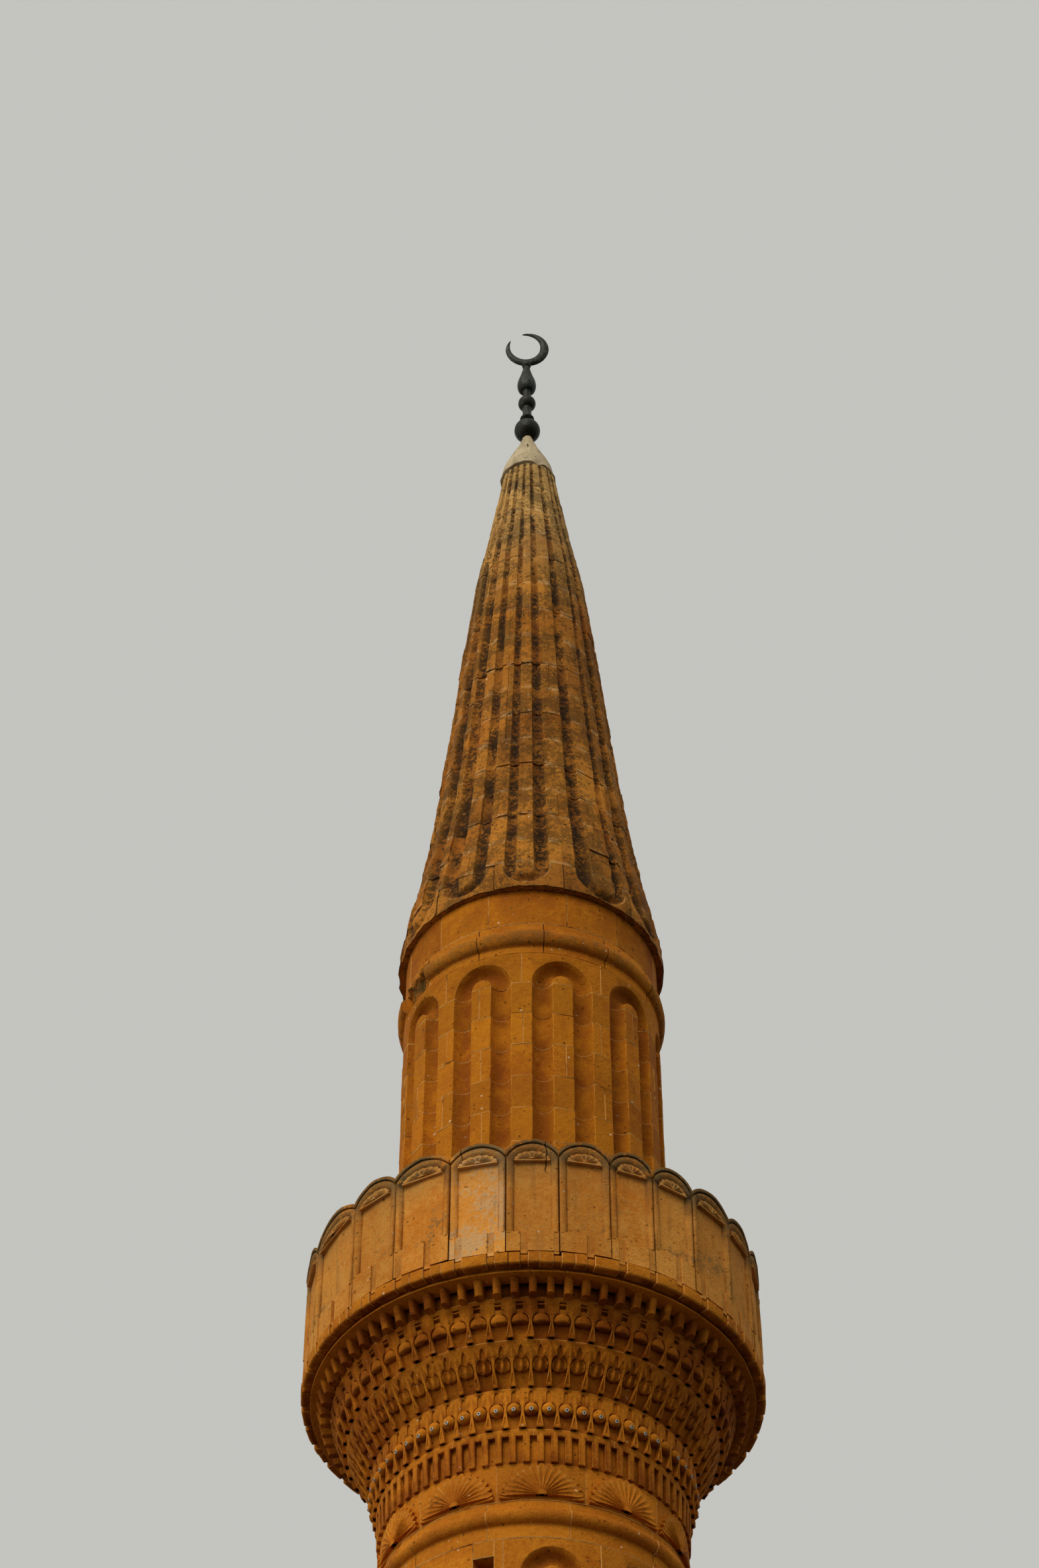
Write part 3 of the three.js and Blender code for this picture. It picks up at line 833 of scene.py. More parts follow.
def roll_profile(
    bottom: float, low: float, high: float, top: float, proud: float, steps: int = 8
) -> tuple[Point, ...]:
    """Profile of a half-round roll between two plain bands.

    Args:
        bottom: Height of the bed.
        low: Height where the roll starts.
        high: Height where it ends.
        top: Height of the top.
        proud: How far it stands out.
        steps: Facets of the roll.

    Returns:
        (depth, height) pairs.
    """
    middle, rise = (low + high) / 2, (high - low) / 2
    angles = spread(-math.pi / 2, math.pi / 2, steps)
    roll = [(-proud * math.cos(angle), middle + rise * math.sin(angle)) for angle in angles]
    return ((0.0, bottom), *roll, (0.0, top))


def height_span(node: str) -> Point:
    """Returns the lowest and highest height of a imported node."""
    low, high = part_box(node)
    return low.z, high.z


@dataclass(frozen=True)
class Slit:
    """A window cut through one bay of the shaft.

    Attributes:
        left: Azimuth of its left jamb.
        right: Azimuth of its right jamb.
        below: Distance from the storey's top to its head.
        height: Height of the opening.
    """

    left: float = -22.5
    right: float = -14.5
    below: float = 0.135
    height: float = 0.70


@dataclass
class Storey:
    """A storey of wall with blind arches.

    Attributes:
        work: Stonework that its blocks end in.
        shell: Wall that they are wrapped onto.
        bays: Azimuths of the bays' ribs.
        spacing: Degrees between bays.
        flute: Degrees across a flute and across a bay's rib.
        bottom: Height of the wall's bed.
        foot: Height where the flutes start.
        top: Height of the wall's top.
        course: Height of a course; the top one holds the arches.
        crown_below: Distance from the wall's top to the arches' crowns.
        slit: Window, if there is one.
        weather: How uneven the stones are.
    """

    work: Stonework
    shell: Shell
    bays: tuple[float, ...]
    spacing: float
    flute: float
    bottom: float
    foot: float
    top: float
    course: float
    crown_below: float
    slit: Slit | None = None
    weather: Weather = Weather()

    def __post_init__(self) -> None:
        """Sets out the flutes, the window and where upright joints may stand."""
        self.head_bed = self.top - self.course
        if self.slit:
            self.jambs = [self.shell.along(self.slit.left), self.shell.along(self.slit.right)]
            self.head = self.top - self.slit.below
            self.sill = self.head - self.slit.height
        self.half = self.shell.along(self.flute / 2)
        fluted = bay_relief(self.shell, self.bays, self.flute, (-360, 0, 360))
        self.masonry = Masonry(self.work, self.shell, fluted, self.weather)
        self.plain = Masonry(self.work, self.shell, Relief(), self.weather)
        step = self.spacing / 2
        count = round(360 / step)
        self.candidates = [self.bays[0] - 180 + step * i for i in range(count)]

    def build(self) -> None:
        """Lays the storey from its bed to its top: plain foot, fluted courses, arch heads."""
        stream = self.work.random
        if self.foot > self.bottom:
            self.plain.lay(self.bottom, self.foot, bonded_joints(self.shell, self.candidates, 0, stream))
        beds = spread(self.foot, self.head_bed, round((self.head_bed - self.foot) / self.course))
        for number, (bed, top) in enumerate(zip(beds, beds[1:])):
            joints = bonded_joints(self.shell, self.candidates, number + 1, stream)
            self.lay_around_slit(bed, top, joints)
        self.crown_bays()

    def lay_around_slit(self, bed: float, top: float, joints: list[float]) -> None:
        """Lays a course, leaving the slit window open."""
        if self.slit is None or top <= self.sill or bed >= self.head:
            self.masonry.lay(bed, top, joints)
            return
        left, right = self.jambs
        clear, turn = self.shell.along(5), self.shell.along(360)
        kept = [x for x in joints if not any(left - clear < at < right + clear for at in (x, x - turn))]
        if kept[0] != joints[0]:
            kept.append(kept[0] + turn)
        joints = sorted([*kept, left, right])
        self.masonry.lay(bed, top, joints, skip=[joints.index(left)])
        if bed < self.sill:
            self.plain.lay(bed, self.sill, self.jambs)
        if top > self.head:
            self.plain.lay(self.head, top, self.jambs)

    def crown_bays(self) -> None:
        """Lays the top course: an arch head over each bay, and plain blocks where a bay is left out."""
        outer = 3 * self.half
        arch = ArchHead(self.half, 2 * self.half, 2 * self.half, 2 * self.half, self.half)
        centre_z = self.top - self.crown_below - outer
        side = self.shell.along(self.spacing / 2)
        for bay in self.bays:
            x = self.shell.along(bay)
            stone = arch.cut((x, centre_z), self.head_bed, self.top, (side, side), self.work.random.random())
            self.masonry.set_in(stone, [x - side, x + side])
        gap = 360 - self.spacing * len(self.bays)
        if gap > 1:
            end = self.bays[0] - self.spacing / 2
            first, last = self.shell.along(end - gap), self.shell.along(end)
            if self.slit:
                self.plain.lay(self.head_bed, self.top, [first, *self.jambs, last], skip=[1])
                self.plain.lay(self.head, self.top, self.jambs)
            else:
                self.plain.lay(self.head_bed, self.top, [first, (first + last) / 2, last])


@dataclass
class Shaft:
    """The round shaft: two storeys of blind arches between round mouldings.

    Attributes:
        finish: Stone finish.
        roll_finish: Finish of the round mouldings.
        first_bay: Azimuth of the first bay.
        spacing: Degrees between bays.
        bays: Number of bays; one is left out for the slit windows.
        flute: Degrees across a flute.
        crown_below: Distance from a storey's top to its arches' crowns.
        course: Height of the top course.
        foot_above: Plain height at a storey's foot.
        lip: Height of the plain edges of the two lower round mouldings.
    """

    finish: bpy.types.Material
    roll_finish: bpy.types.Material
    first_bay: float = 6.9
    spacing: float = 36.0
    bays: int = 9
    flute: float = 8.0
    crown_below: float = 0.075
    course: float = 0.356
    foot_above: float = 0.32
    lip: float = 0.02

    def build(self) -> None:
        """Builds both storeys and the mouldings as one piece each."""
        self.storey("shaft_lower", 1.20, 21)
        self.storey("shaft_upper", 1.17, 22)
        self.ring("foot_ring", 1.215, 1.30, self.lip, self.lip, 23)
        self.ring("middle_ring", 1.20, 1.28, self.lip, self.lip, 24)
        self.ring("shaft_ring", 1.17, 1.230, 0.118, 0.078, 25)

    def storey(self, node: str, radius: float, seed: int) -> None:
        """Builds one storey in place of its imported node."""
        bottom, top = height_span(node)
        work = Stonework(node + "_blocks", seed)
        bays = tuple(self.first_bay + self.spacing * i for i in range(self.bays))
        Storey(
            work, Shell.upright(radius), bays, self.spacing, self.flute, bottom, bottom + self.foot_above, top,
            self.course, self.crown_below, Slit(),
        ).build()
        work.finish(self.finish, Slot.OCHRE, [node])

    def ring(self, node: str, neck: float, roll: float, below: float, above: float, seed: int) -> None:
        """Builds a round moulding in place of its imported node.

        Args:
            node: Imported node.
            neck: Radius beside the roll.
            roll: Radius of the roll.
            below: Height of the plain band under the roll.
            above: Height of the plain band over it.
            seed: Seed of its random stream.
        """
        bottom, top = height_span(node)
        shell = Shell.upright(neck)
        work = Stonework(node + "_stones", seed)
        profile = roll_profile(bottom, bottom + below, top - above, top, roll - neck)
        azimuths = [-180 + 32.5 * i + work.random.uniform(-2, 2) for i in range(11)]
        joints = shell.around(azimuths)
        masonry = Masonry(work, shell, Relief(), RING_WEATHER)
        masonry.set_in(Moulding(profile).cut_roll(joints, work.random), joints)
        work.finish(self.roll_finish, Slot.OCHRE, [node])


@dataclass
class Drum:
    """The drum over the balcony, with its doorway, round moulding and frieze.

    Attributes:
        finish: Stone finish.
        roll_finish: Finish of the round moulding.
        radius: Radius of the wall's face.
        first_bay: Azimuth of the first bay.
        spacing: Degrees between bays.
        bays: Number of bays.
        flute: Degrees across a flute.
        course: Height of the upper courses.
        low_course: Height that the courses beside the doorway aim for.
        crown_below: Distance from the wall's top to the arches' crowns.
        foot_above: Plain height at the wall's foot.
        door_bay: Number of the bay that the doorway takes.
        door_half: Half width of the doorway.
        door_springing: Height where its arch starts.
        door_reach: Distance from its middle to the outer joints of its wedge stones.
        door_clear: Least distance from there to the next joint.
        ring_neck: Radius beside the round moulding.
        ring_roll: Radius of the moulding.
        roll_low: Height of the moulding's lower edge.
        roll_high: Height of its upper edge.
        broken: Azimuths of the ends of its broken stretch.
        frieze_joints: Azimuths of the frieze's joints.
    """

    finish: bpy.types.Material
    roll_finish: bpy.types.Material
    radius: float = 1.141
    first_bay: float = 13.8
    spacing: float = 36.0
    bays: int = 10
    flute: float = 9.0
    course: float = 0.355
    low_course: float = 0.36
    crown_below: float = 0.076
    foot_above: float = 0.40
    door_bay: int = 5
    door_half: float = 0.31
    door_springing: float = 19.29
    door_reach: float = 0.55
    door_clear: float = 0.08
    ring_neck: float = 1.133
    ring_roll: float = 1.195
    roll_low: float = 21.72
    roll_high: float = 21.90
    broken: Point = (-76.0, -52.5)
    frieze_joints: tuple[float, ...] = (-160, -128, -100, -72, -44.5, -19.3, 16.1, 41.8, 75, 104, 140, 170)

    def build(self) -> None:
        """Builds the wall, the moulding and the frieze."""
        self.shell = Shell.upright(self.radius)
        self.wall()
        self.ring()
        self.frieze()

    def wall(self) -> None:
        """Builds the wall from the balcony's floor to the moulding."""
        bottom, course_line = height_span("drum_lower")
        _, top = height_span("drum_upper")
        work = Stonework("drum_blocks", 31)
        bays = [self.first_bay + self.spacing * i for i in range(self.bays)]
        Storey(
            work, self.shell, tuple(bays), self.spacing, self.flute, course_line, course_line, top,
            self.course, self.crown_below,
        ).build()
        door = bays.pop(self.door_bay)
        self.lower_wall(work, bays, door, bottom, course_line)
        work.finish(self.finish, Slot.OCHRE, ["drum_lower", "drum_upper"])

    def lower_wall(self, work: Stonework, bays: Sequence[float], door: float, bottom: float, top: float) -> None:
        """Builds the courses that the doorway cuts through.

        Args:
            work: Stonework that the blocks end in.
            bays: Azimuths of the fluted bays.
            door: Azimuth of the doorway.
            bottom: Height of the wall's bed.
            top: Height of its last course.
        """
        fluted = Masonry(work, self.shell, bay_relief(self.shell, bays, self.flute, (-360, 0)), Weather())
        plain = Masonry(work, self.shell, Relief(), Weather())
        turn = self.shell.along(360)
        centre = self.shell.along(door - 360)
        candidates = [door - 360 + self.spacing / 2 * i for i in range(-1, 2 * self.bays - 1)]
        fluted_height = top - bottom - self.foot_above
        lines = [bottom, *spread(bottom + self.foot_above, top, round(fluted_height / self.low_course))]
        floor = height_span("gallery_paving")[1]
        head = DoorHead(self.door_half, self.door_springing, lines[-3], top, self.door_reach)
        for number, (bed, level) in enumerate(zip(lines, lines[1:])):
            layer = plain if number == 0 else fluted
            joints = bonded_joints(self.shell, candidates, number, work.random)
            half_gap = head.reach if bed >= head.bed - TINY else self.door_half
            clear = half_gap + self.door_clear
            kept = [x for x in joints[:-1] if abs(x - centre) > clear and abs(x - centre - turn) > clear]
            joints = sorted([centre - half_gap, centre + half_gap, *kept])
            layer.lay(bed, level, [*joints, joints[0] + turn], skip=[0])
        plain.lay(bottom, floor, [centre - self.door_half, centre + self.door_half])
        stones = head.cut(centre, work.random)
        plain.set_in(stones, [centre - head.reach, centre + head.reach])

    def ring(self) -> None:
        """Builds the moulding, with its broken stretch."""
        bottom, top = height_span("drum_ring")
        shell = Shell.upright(self.ring_neck)
        work = Stonework("drum_ring_stones", 32)
        profile = roll_profile(bottom, self.roll_low, self.roll_high, top, self.ring_roll - self.ring_neck)
        masonry = Masonry(work, shell, Relief(), RING_WEATHER)
        whole = [self.broken[1] + 29.0 * i for i in range(12)]
        whole.append(self.broken[0] + 360)
        joints = [shell.along(azimuth) for azimuth in whole]
        masonry.set_in(Moulding(profile).cut_roll(joints, work.random), joints)
        lost = (
            (0.03, bottom), (0.055, bottom + 0.04), (0.075, bottom + 0.11), (0.045, self.roll_high),
            (0.0, self.roll_high + 0.02), (0.0, top),
        )
        joints = [shell.along(azimuth) for azimuth in self.broken]
        rough = Masonry(work, shell, Relief(), Weather(jog=0.0, sway=0.01, pit=0.04, grain=0.08))
        stub = Moulding(lost, facet=0.03).cut(joints, work.random)
        # Painted shade over the broken stretch, below the top of the lost roll.
        stub.mark(1.0, lambda co: co.z < self.roll_high + 0.03)
        rough.set_in(stub, joints)
        work.finish(self.roll_finish, Slot.OCHRE, ["drum_ring"])

    def frieze(self) -> None:
        """Builds the plain band under the spire's eave."""
        bottom, top = height_span("frieze")
        shell = Shell.upright(self.ring_neck)
        work = Stonework("frieze_stones", 33)
        masonry = Masonry(work, shell, Relief(), Weather(jog=0.003, sway=0.003, pit=0.004), row=0.1)
        masonry.lay(bottom, top, shell.around(self.frieze_joints))
        # Painted shade under the eave: the hollow marks grow towards the frieze's top.
        for vertex in work.bm.verts:
            shade = 0.35 + 0.45 * (vertex.co.z - bottom) / (top - bottom)
            vertex[work.hollow] = max(vertex[work.hollow], shade)
        work.finish(self.finish, Slot.OCHRE, ["frieze"])


@dataclass(frozen=True)
class DoorHead:
    """The wedge stones round a doorway's arch, stepped out to a rectangle.

    Attributes:
        half: Half width of the doorway.
        springing: Height where the arch starts.
        bed: Height of the stones' bed.
        top: Height of their top.
        reach: Distance from the doorway's middle to the stones' outer joints.
        wedges: Number of wedge stones.
        steps: Facets of the arch along each of them.
    """

    half: float
    springing: float
    bed: float
    top: float
    reach: float
    wedges: int = 5
    steps: int = 4

    def edge_point(self, angle: float) -> Point:
        """Returns where a ray from the arch's centre leaves the rectangle."""
        across, up = math.cos(angle), math.sin(angle)
        scale = min(self.reach / max(abs(across), TINY), (self.top - self.springing) / max(up, TINY))
        return across * scale, self.springing + up * scale

    def cut(self, centre: float, stream: random.Random) -> Stonework:
        """Cuts the wedge stones, flat and closed.

        Args:
            centre: Place of the doorway's middle along the wall.
            stream: Random stream for the tones.

        Returns:
            The closed stones.
        """
        stones = Stonework("door head")
        corner = math.atan2(self.top - self.springing, self.reach)
        corners = (corner, math.pi - corner)
        angles = spread(0.0, math.pi, self.wedges)
        faces = []
        for low, high in zip(angles, angles[1:]):
            outer = [self.edge_point(a) for a in (low, *corners, high) if low <= a <= high]
            inner = [
                (self.half * math.cos(a), self.springing + self.half * math.sin(a))
                for a in spread(high, low, self.steps)
            ]
            foot = []
            if low == angles[0]:
                foot = [(self.half, self.bed), (self.reach, self.bed)]
            if high == angles[-1]:
                outer, foot = [*outer, (-self.reach, self.bed), (-self.half, self.bed)], []
            points = [*outer, *inner, *foot]
            faces.append(stones.outline([(centre + x, 0.0, z) for x, z in points], stream.random()))
        stones.extrude(faces, Vector((0, BACK, 0)))
        stones.turn_out()
        return stones


@dataclass(frozen=True)
class Fan:
    """A half shell of petals round a boss, over a ledge.

    Attributes:
        half: Half width.
        height: Height over the ledge.
        petals: Number of petals.
        foot: How far it stands out at the ledge.
        crest: How far it stands out at its top.
        ridge: Height of the ridges between the petals.
        ledge: Height of the ledge.
        steps: Steps across a petal.
        rings: Places along a petal, as shares of its length.
        bosses: Radius of each disc of the boss, and how far it stands out, as shares.
    """

    half: float
    height: float
    petals: int
    foot: float
    crest: float
    ridge: float
    ledge: float
    steps: int = 4
    rings: tuple[float, ...] = (0.10, 0.40, 0.70, 0.92, 1.0)
    bosses: tuple[Point, ...] = ((0.13, 0.94), (0.07, 1.04))

    def cut(self, base: float, level: float, tone: float) -> Stonework:
        """Cuts the shell, flat and closed, with its middle at x 0.

        Args:
            base: Height of the ledge's top.
            level: Depth of the face that it stands on.
            tone: The stone's tone.

        Returns:
            The closed shell.
        """
        shell = Stonework("fan")
        rays = [self.ray(step, base, level) for step in range(self.steps * self.petals + 1)]
        shell.relief(rays, level + 0.03, tone)
        boss = [math.pi * i / 8 for i in range(9)]
        for size, proud in self.bosses:
            rim = [(self.half * size * math.cos(a), base + self.half * size * math.sin(a)) for a in boss]
            shell.slab(rim, level - self.foot * proud, level + 0.02, tone)
        sill = upright_box(-self.half, self.half, base - self.ledge, base + 0.001)
        shell.slab(sill, level - self.foot, level + 0.03, tone)
        shell.turn_out()
        return shell

    def ray(self, step: int, base: float, level: float) -> list[tuple[float, float, float, float]]:
        """Returns the points of one ray; the first of each petal runs along a ridge."""
        angle = math.pi * step / (self.steps * self.petals)
        share = (step % self.steps) / self.steps
        off_centre = abs(2 * share - 1)
        reach = 1.0 - 0.12 * off_centre**2
        points = []
        for ring in self.rings:
            out = reach * ring
            up = out * math.sin(angle)
            proud = self.foot + (self.crest - self.foot) * up
            depth = (1.0 - off_centre**3) * math.sin(math.pi * min(ring, 0.9))
            # Painted shade in the petals' scoops, darker where they are deeper, and pale marks along the ridges.
            mark = -0.9 if off_centre > 0.9 else 0.45 * depth
            x, z = self.half * out * math.cos(angle), base + self.height * up
            points.append((x, level - proud + 2 * self.ridge * depth, z, mark))
        return points


def upright_box(left: float, right: float, low: float, high: float) -> tuple[Point, ...]:
    """Outline of an upright rectangle.

    Args:
        left: Place of its left side.
        right: Place of its right side.
        low: Height of its lower side.
        high: Height of its upper side.

    Returns:
        Its (place, height) corners.
    """
    return (left, low), (right, low), (right, high), (left, high)


def mirrored(side: Sequence[Point]) -> list[Point]:
    """Closes an outline given by its right side, from top to bottom."""
    left = [(-x, z) for x, z in reversed(side) if x > 0]
    return [*left, *side]


@dataclass(frozen=True)
class Comb:
    """Plate stones with openings cut up into them from below, and posts between them.

    Attributes:
        opening: (distance from its middle, height) down the right side of an opening.
        niche: The same for a shallow niche in each post.
        height: Height of the stones.
    """

    opening: tuple[Point, ...]
    height: float
    niche: tuple[Point, ...] = ()

    def stone(self, start: float, pitch: float, units: int, tone: float) -> Stonework:
        """Cuts a stone between the middles of two openings, flat and closed.

        Args:
            start: Place of the first opening's middle.
            pitch: Distance between openings.
            units: Number of posts.
            tone: The stone's tone.

        Returns:
            The closed stone.
        """
        stone = Stonework("comb")
        points = [(start, self.height)]
        for unit in range(units):
            middle = start + unit * pitch
            post = middle + pitch / 2
            points += [(middle + x, z) for x, z in self.opening]
            points += [(post - x, z) for x, z in reversed(self.niche)]
            points += [(post + x, z) for x, z in self.niche]
            points += [(middle + pitch - x, z) for x, z in reversed(self.opening)]
        points.append((start + units * pitch, self.height))
        kept = [point for point, before in zip(points, [None, *points]) if point != before]
        stone.slab(kept, 0.0, BACK, tone)
        for step in range(1, 2 * units):
            everything = [*stone.bm.verts, *stone.bm.edges, *stone.bm.faces]
            place = (start + step * pitch / 2, 0, 0)
            bmesh.ops.bisect_plane(stone.bm, geom=everything, plane_co=place, plane_no=(1, 0, 0), dist=WELD)
        stone.turn_out()
        # Painted shade: the openings' sides darken towards the wall behind.
        stone.mark(1.0, lambda co: co.y > BACK / 2)
        return stone


@dataclass(frozen=True)
class Tier:
    """Where a tier of the corbel stands.

    Attributes:
        node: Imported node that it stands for.
        first: Azimuth of an opening's middle.
        count: Number of openings round the tower.
        foot: Radius of the face at the bottom.
        lip: Radius of the face at the top.
        core: Radius of the wall behind.
        stones: Openings in each stone, in turn.
        seed: Seed of its random stream.
    """

    node: str
    first: float
    count: int
    foot: float
    lip: float
    core: float
    stones: tuple[int, ...]
    seed: int

    def runs(self) -> Iterator[tuple[int, int]]:
        """Yields the number of each stone's first opening and of its openings."""
        unit = 0
        for units in itertools.cycle(self.stones):
            if unit >= self.count:
                return
            yield unit, min(units, self.count - unit)
            unit += units


@dataclass
class Corbel:
    """The carved tiers that carry the balcony.

    Attributes:
        finish: Stone finish.
        glaze: Finish of the beads.
        pupil: Finish of the beads' centres.
        flask_tier: The tier of flasks.
        lobe_tier: The tier of double lobes.
        ball_tier: The tier of balls.
        tooth_tier: The tier of long slots.
        niche_depth: Depth of the niches in the posts.
        fan_count: Number of fans round the tower.
        first_fan: Azimuth of the first.
        fan_face: Radius of the fans' wall at its bottom and at its top.
        peg_count: Number of billets round the tower.
        peg_face: Radius of their faces at the bottom and at the top.
        peg_core: Radius of the wall behind them, likewise.
        peg_nose: Depth of a billet's round front.
        peg_half: Least and greatest half width of a billet.
        lost_beads: Share of the beads that are lost.
        weather: How uneven the stones are.
    """

    finish: bpy.types.Material
    glaze: bpy.types.Material
    pupil: bpy.types.Material
    flask_tier: Tier = Tier("corbel_flasks", 2.4, 60, 1.512, 1.620, 1.470, (5, 6, 4, 5), 51)
    lobe_tier: Tier = Tier("corbel_lobes", 2.4, 60, 1.313, 1.478, 1.275, (6, 5, 4, 5), 52)
    ball_tier: Tier = Tier("corbel_balls", -0.6, 60, 1.254, 1.281, 1.218, (5, 5, 6, 4), 53)
    tooth_tier: Tier = Tier("corbel_teeth", 0.1, 72, 1.214, 1.226, 1.183, (6, 7, 5, 6), 54)
    niche_depth: float = 0.008
    fan_count: int = 11
    first_fan: float = 3.0
    fan_face: Point = (1.172, 1.186)
    peg_count: int = 76
    peg_face: Point = (1.700, 1.742)
    peg_core: Point = (1.60, 1.64)
    peg_nose: float = 0.024
    peg_half: Point = (0.027, 0.035)
    lost_beads: float = 0.12
    weather: Weather = Weather(jog=0.0012, sway=0.002, pit=0.0025, grain=0.09, groove=0.003)

    def build(self) -> None:
        """Builds the tiers from the bottom up."""
        self.fans()
        self.teeth()
        self.balls()
        self.beads()
        self.lobes()
        self.flasks()
        self.billets()

    def raise_tier(
        self, tier: Tier, opening: tuple[Point, ...], body: Stonework | None = None,
        niche: tuple[Point, ...] = (), block: float = 0.0,
    ) -> Stonework:
        """Sets a tier's plates over its core, with a body in every opening.

        Args:
            tier: Where the tier stands.
            opening: Right side of an opening.
            body: What stands in an opening, at x 0 from height 0.
            niche: Right side of the niche in a post.
            block: Height of the block at the niche's foot.

        Returns:
            The tier's stonework.
        """
        bottom, top = height_span(tier.node)
        comb = Comb(opening, top - bottom, niche)
        work = Stonework(tier.node + "_carving", tier.seed)
        core = (0.0, tier.core), (comb.height, tier.lip - tier.foot + tier.core - 0.012)
        lifted = Shell(
            ((0.0, tier.foot), (comb.height, tier.lip)), tuple((z, radius - 0.01) for z, radius in core), tier.lip,
        )
        masonry = Masonry(work, lifted, Relief(), self.weather)
        pitch = lifted.along(360 / tier.count)
        start = lifted.along(tier.first)
        for unit, units in tier.runs():
            stone = comb.stone(start + unit * pitch, pitch, units, work.random.random())
            ends = [start + unit * pitch, start + (unit + units) * pitch]
            masonry.set_in(stone, ends, beds=[comb.height])
        if body:
            self.foot_blocks(body, tier, niche, block)
            body.turn_out()
            bodies = Stonework("bodies", tier.seed)
            bodies.repeat(body, [start + i * pitch for i in range(tier.count)])
            bodies.move(lifted.place)
            work.absorb(bodies)
        work.shift((0, 0, bottom))
        self.core(work, [(bottom + z, radius) for z, radius in core])
        # Dark painted shade on the faces that look down.
        work.paint_underside_shade(1.15)
        return work

    def core(self, work: Stonework, face: Sequence[Point], dark: float = 0.7) -> None:
        """Adds the plain wall behind a tier, with painted shade that darkens it towards its top.

        Args:
            work: The tier's stonework.
            face: (height, radius) of its foot and of its top.
            dark: Hollow mark at its top, which sets how dark the painted shade gets.
        """
        (bottom, radius), (top, _) = face
        shell = Shell(tuple(face), ((0.0, BORE),), radius)
        joints = [shell.along(azimuth) for azimuth in spread(-180, 180, 12)]
        stones = Moulding(((0.0, bottom), (0.0, (bottom + top) / 2), (0.0, top))).cut(joints, work.random)
        for vertex in stones.bm.verts:
            vertex[stones.hollow] = dark * (0.25 + 0.75 * (vertex.co.z - bottom) / (top - bottom))
        stones.move(shell.place)
        work.absorb(stones)

    def foot_blocks(self, body: Stonework, tier: Tier, niche: Sequence[Point], block: float) -> None:
        """Fills the niche of the post beside an opening, with a flush block at its foot.

        Args:
            body: Stonework of one opening.
            tier: Where the tier stands.
            niche: Right side of the niche.
            block: Height of the block.
        """
        post = math.tau * tier.lip / tier.count / 2
        behind = [(x + 0.003, z) for x, z in niche]
        behind[0] = (0.0, niche[0][1] + 0.004)
        # The niche is painted darker, as painted shade in the recess.
        body.slab([(post + x, z) for x, z in mirrored(behind)], self.niche_depth, BACK, hollow=0.6)
        wide = interpolate([(z, x) for x, z in reversed(niche)], block)
        foot = [(post - niche[-1][0], 0.0), (post + niche[-1][0], 0.0), (post + wide, block), (post - wide, block)]
        body.slab(foot, 0.0015, BACK)

    def flasks(self) -> None:
        """Builds the tier of flasks in necked recesses."""
        neck = 0.028
        opening = (
            (0.0, 0.262), (neck, 0.262), (neck, 0.177), (0.045, 0.173), (0.060, 0.161), (0.070, 0.143),
            (0.0745, 0.121), (0.072, 0.098), (0.065, 0.060), (0.058, 0.028), (0.0513, 0.0),
        )
        niche = ((0.0, 0.098), (0.006, 0.072), (0.013, 0.040), (0.020, 0.0))
        body = Stonework("flask")
        bulb = (
            (0.0, 0.1765), (0.028, 0.175), (0.045, 0.171), (0.060, 0.159), (0.070, 0.141), (0.0738, 0.123),
            (0.072, 0.114), (0.064, 0.108), (0.045, 0.104), (0.0, 0.102),
        )
        body.turned(bulb, 14, 0.024, 0.42)
        # A near-black slab behind the bulb as painted shadow, and painted shade on the bulb's underside.
        shadow = mirrored(((0.0, 0.17), (0.040, 0.165), (0.068, 0.135), (0.068, 0.117), (0.045, 0.107)))
        body.slab(shadow, 0.022, BACK, hollow=1.6)
        body.mark(1.35, lambda co: co.z < 0.119)
        body.slab(((-0.026, 0.15), (0.026, 0.15), (0.024, 0.208), (-0.024, 0.208)), 0.008, BACK)
        body.slab(upright_box(-0.03, 0.03, 0.238, 0.246), 0.004, 0.018)
        work = self.raise_tier(self.flask_tier, opening, body, niche, 0.018)
        # Painted shade over the whole tier, which lies under the cornice's overhang.
        work.mark_at_least(0.95)
        work.finish(self.finish, Slot.OCHRE, [self.flask_tier.node])

    def lobes(self) -> None:
        """Builds the tier of double lobes under pointed niches."""
        niche_half = 0.0245
        opening = (
            (0.0, 0.279), (0.012, 0.262), (0.021, 0.240), (niche_half, 0.220), (niche_half, 0.200),
            (0.034, 0.200), (0.046, 0.194), (0.057, 0.181), (0.064, 0.164), (0.0665, 0.145), (0.0665, 0.106),
            (0.064, 0.085), (0.057, 0.045), (0.0499, 0.0),
        )
        niche = ((0.0, 0.094), (0.006, 0.072), (0.012, 0.042), (0.0165, 0.0))
        body = Stonework("lobes")
        arch_cusp = ((0.0, 0.286), (0.028, 0.25), (0.028, 0.201), (0.018, 0.200), (0.008, 0.194), (0.0, 0.188))
        # The plate at the cusp gets some painted shade.
        body.slab(mirrored(arch_cusp), 0.020, BACK, hollow=0.35)
        plan = (
            (0.0600, 0.002, 0.124, 0.136), (0.0555, 0.000, 0.122, 0.160), (0.047, 0.014, 0.119, 0.176),
            (0.033, 0.020, 0.113, 0.1865), (0.017, 0.014, 0.107, 0.186), (0.007, 0.000, 0.104, 0.180),
            (0.0, -0.002, 0.103, 0.176),
        )
        across = [(-x, *rest) for x, *rest in plan] + [(x, *rest) for x, *rest in reversed(plan[:-1])]
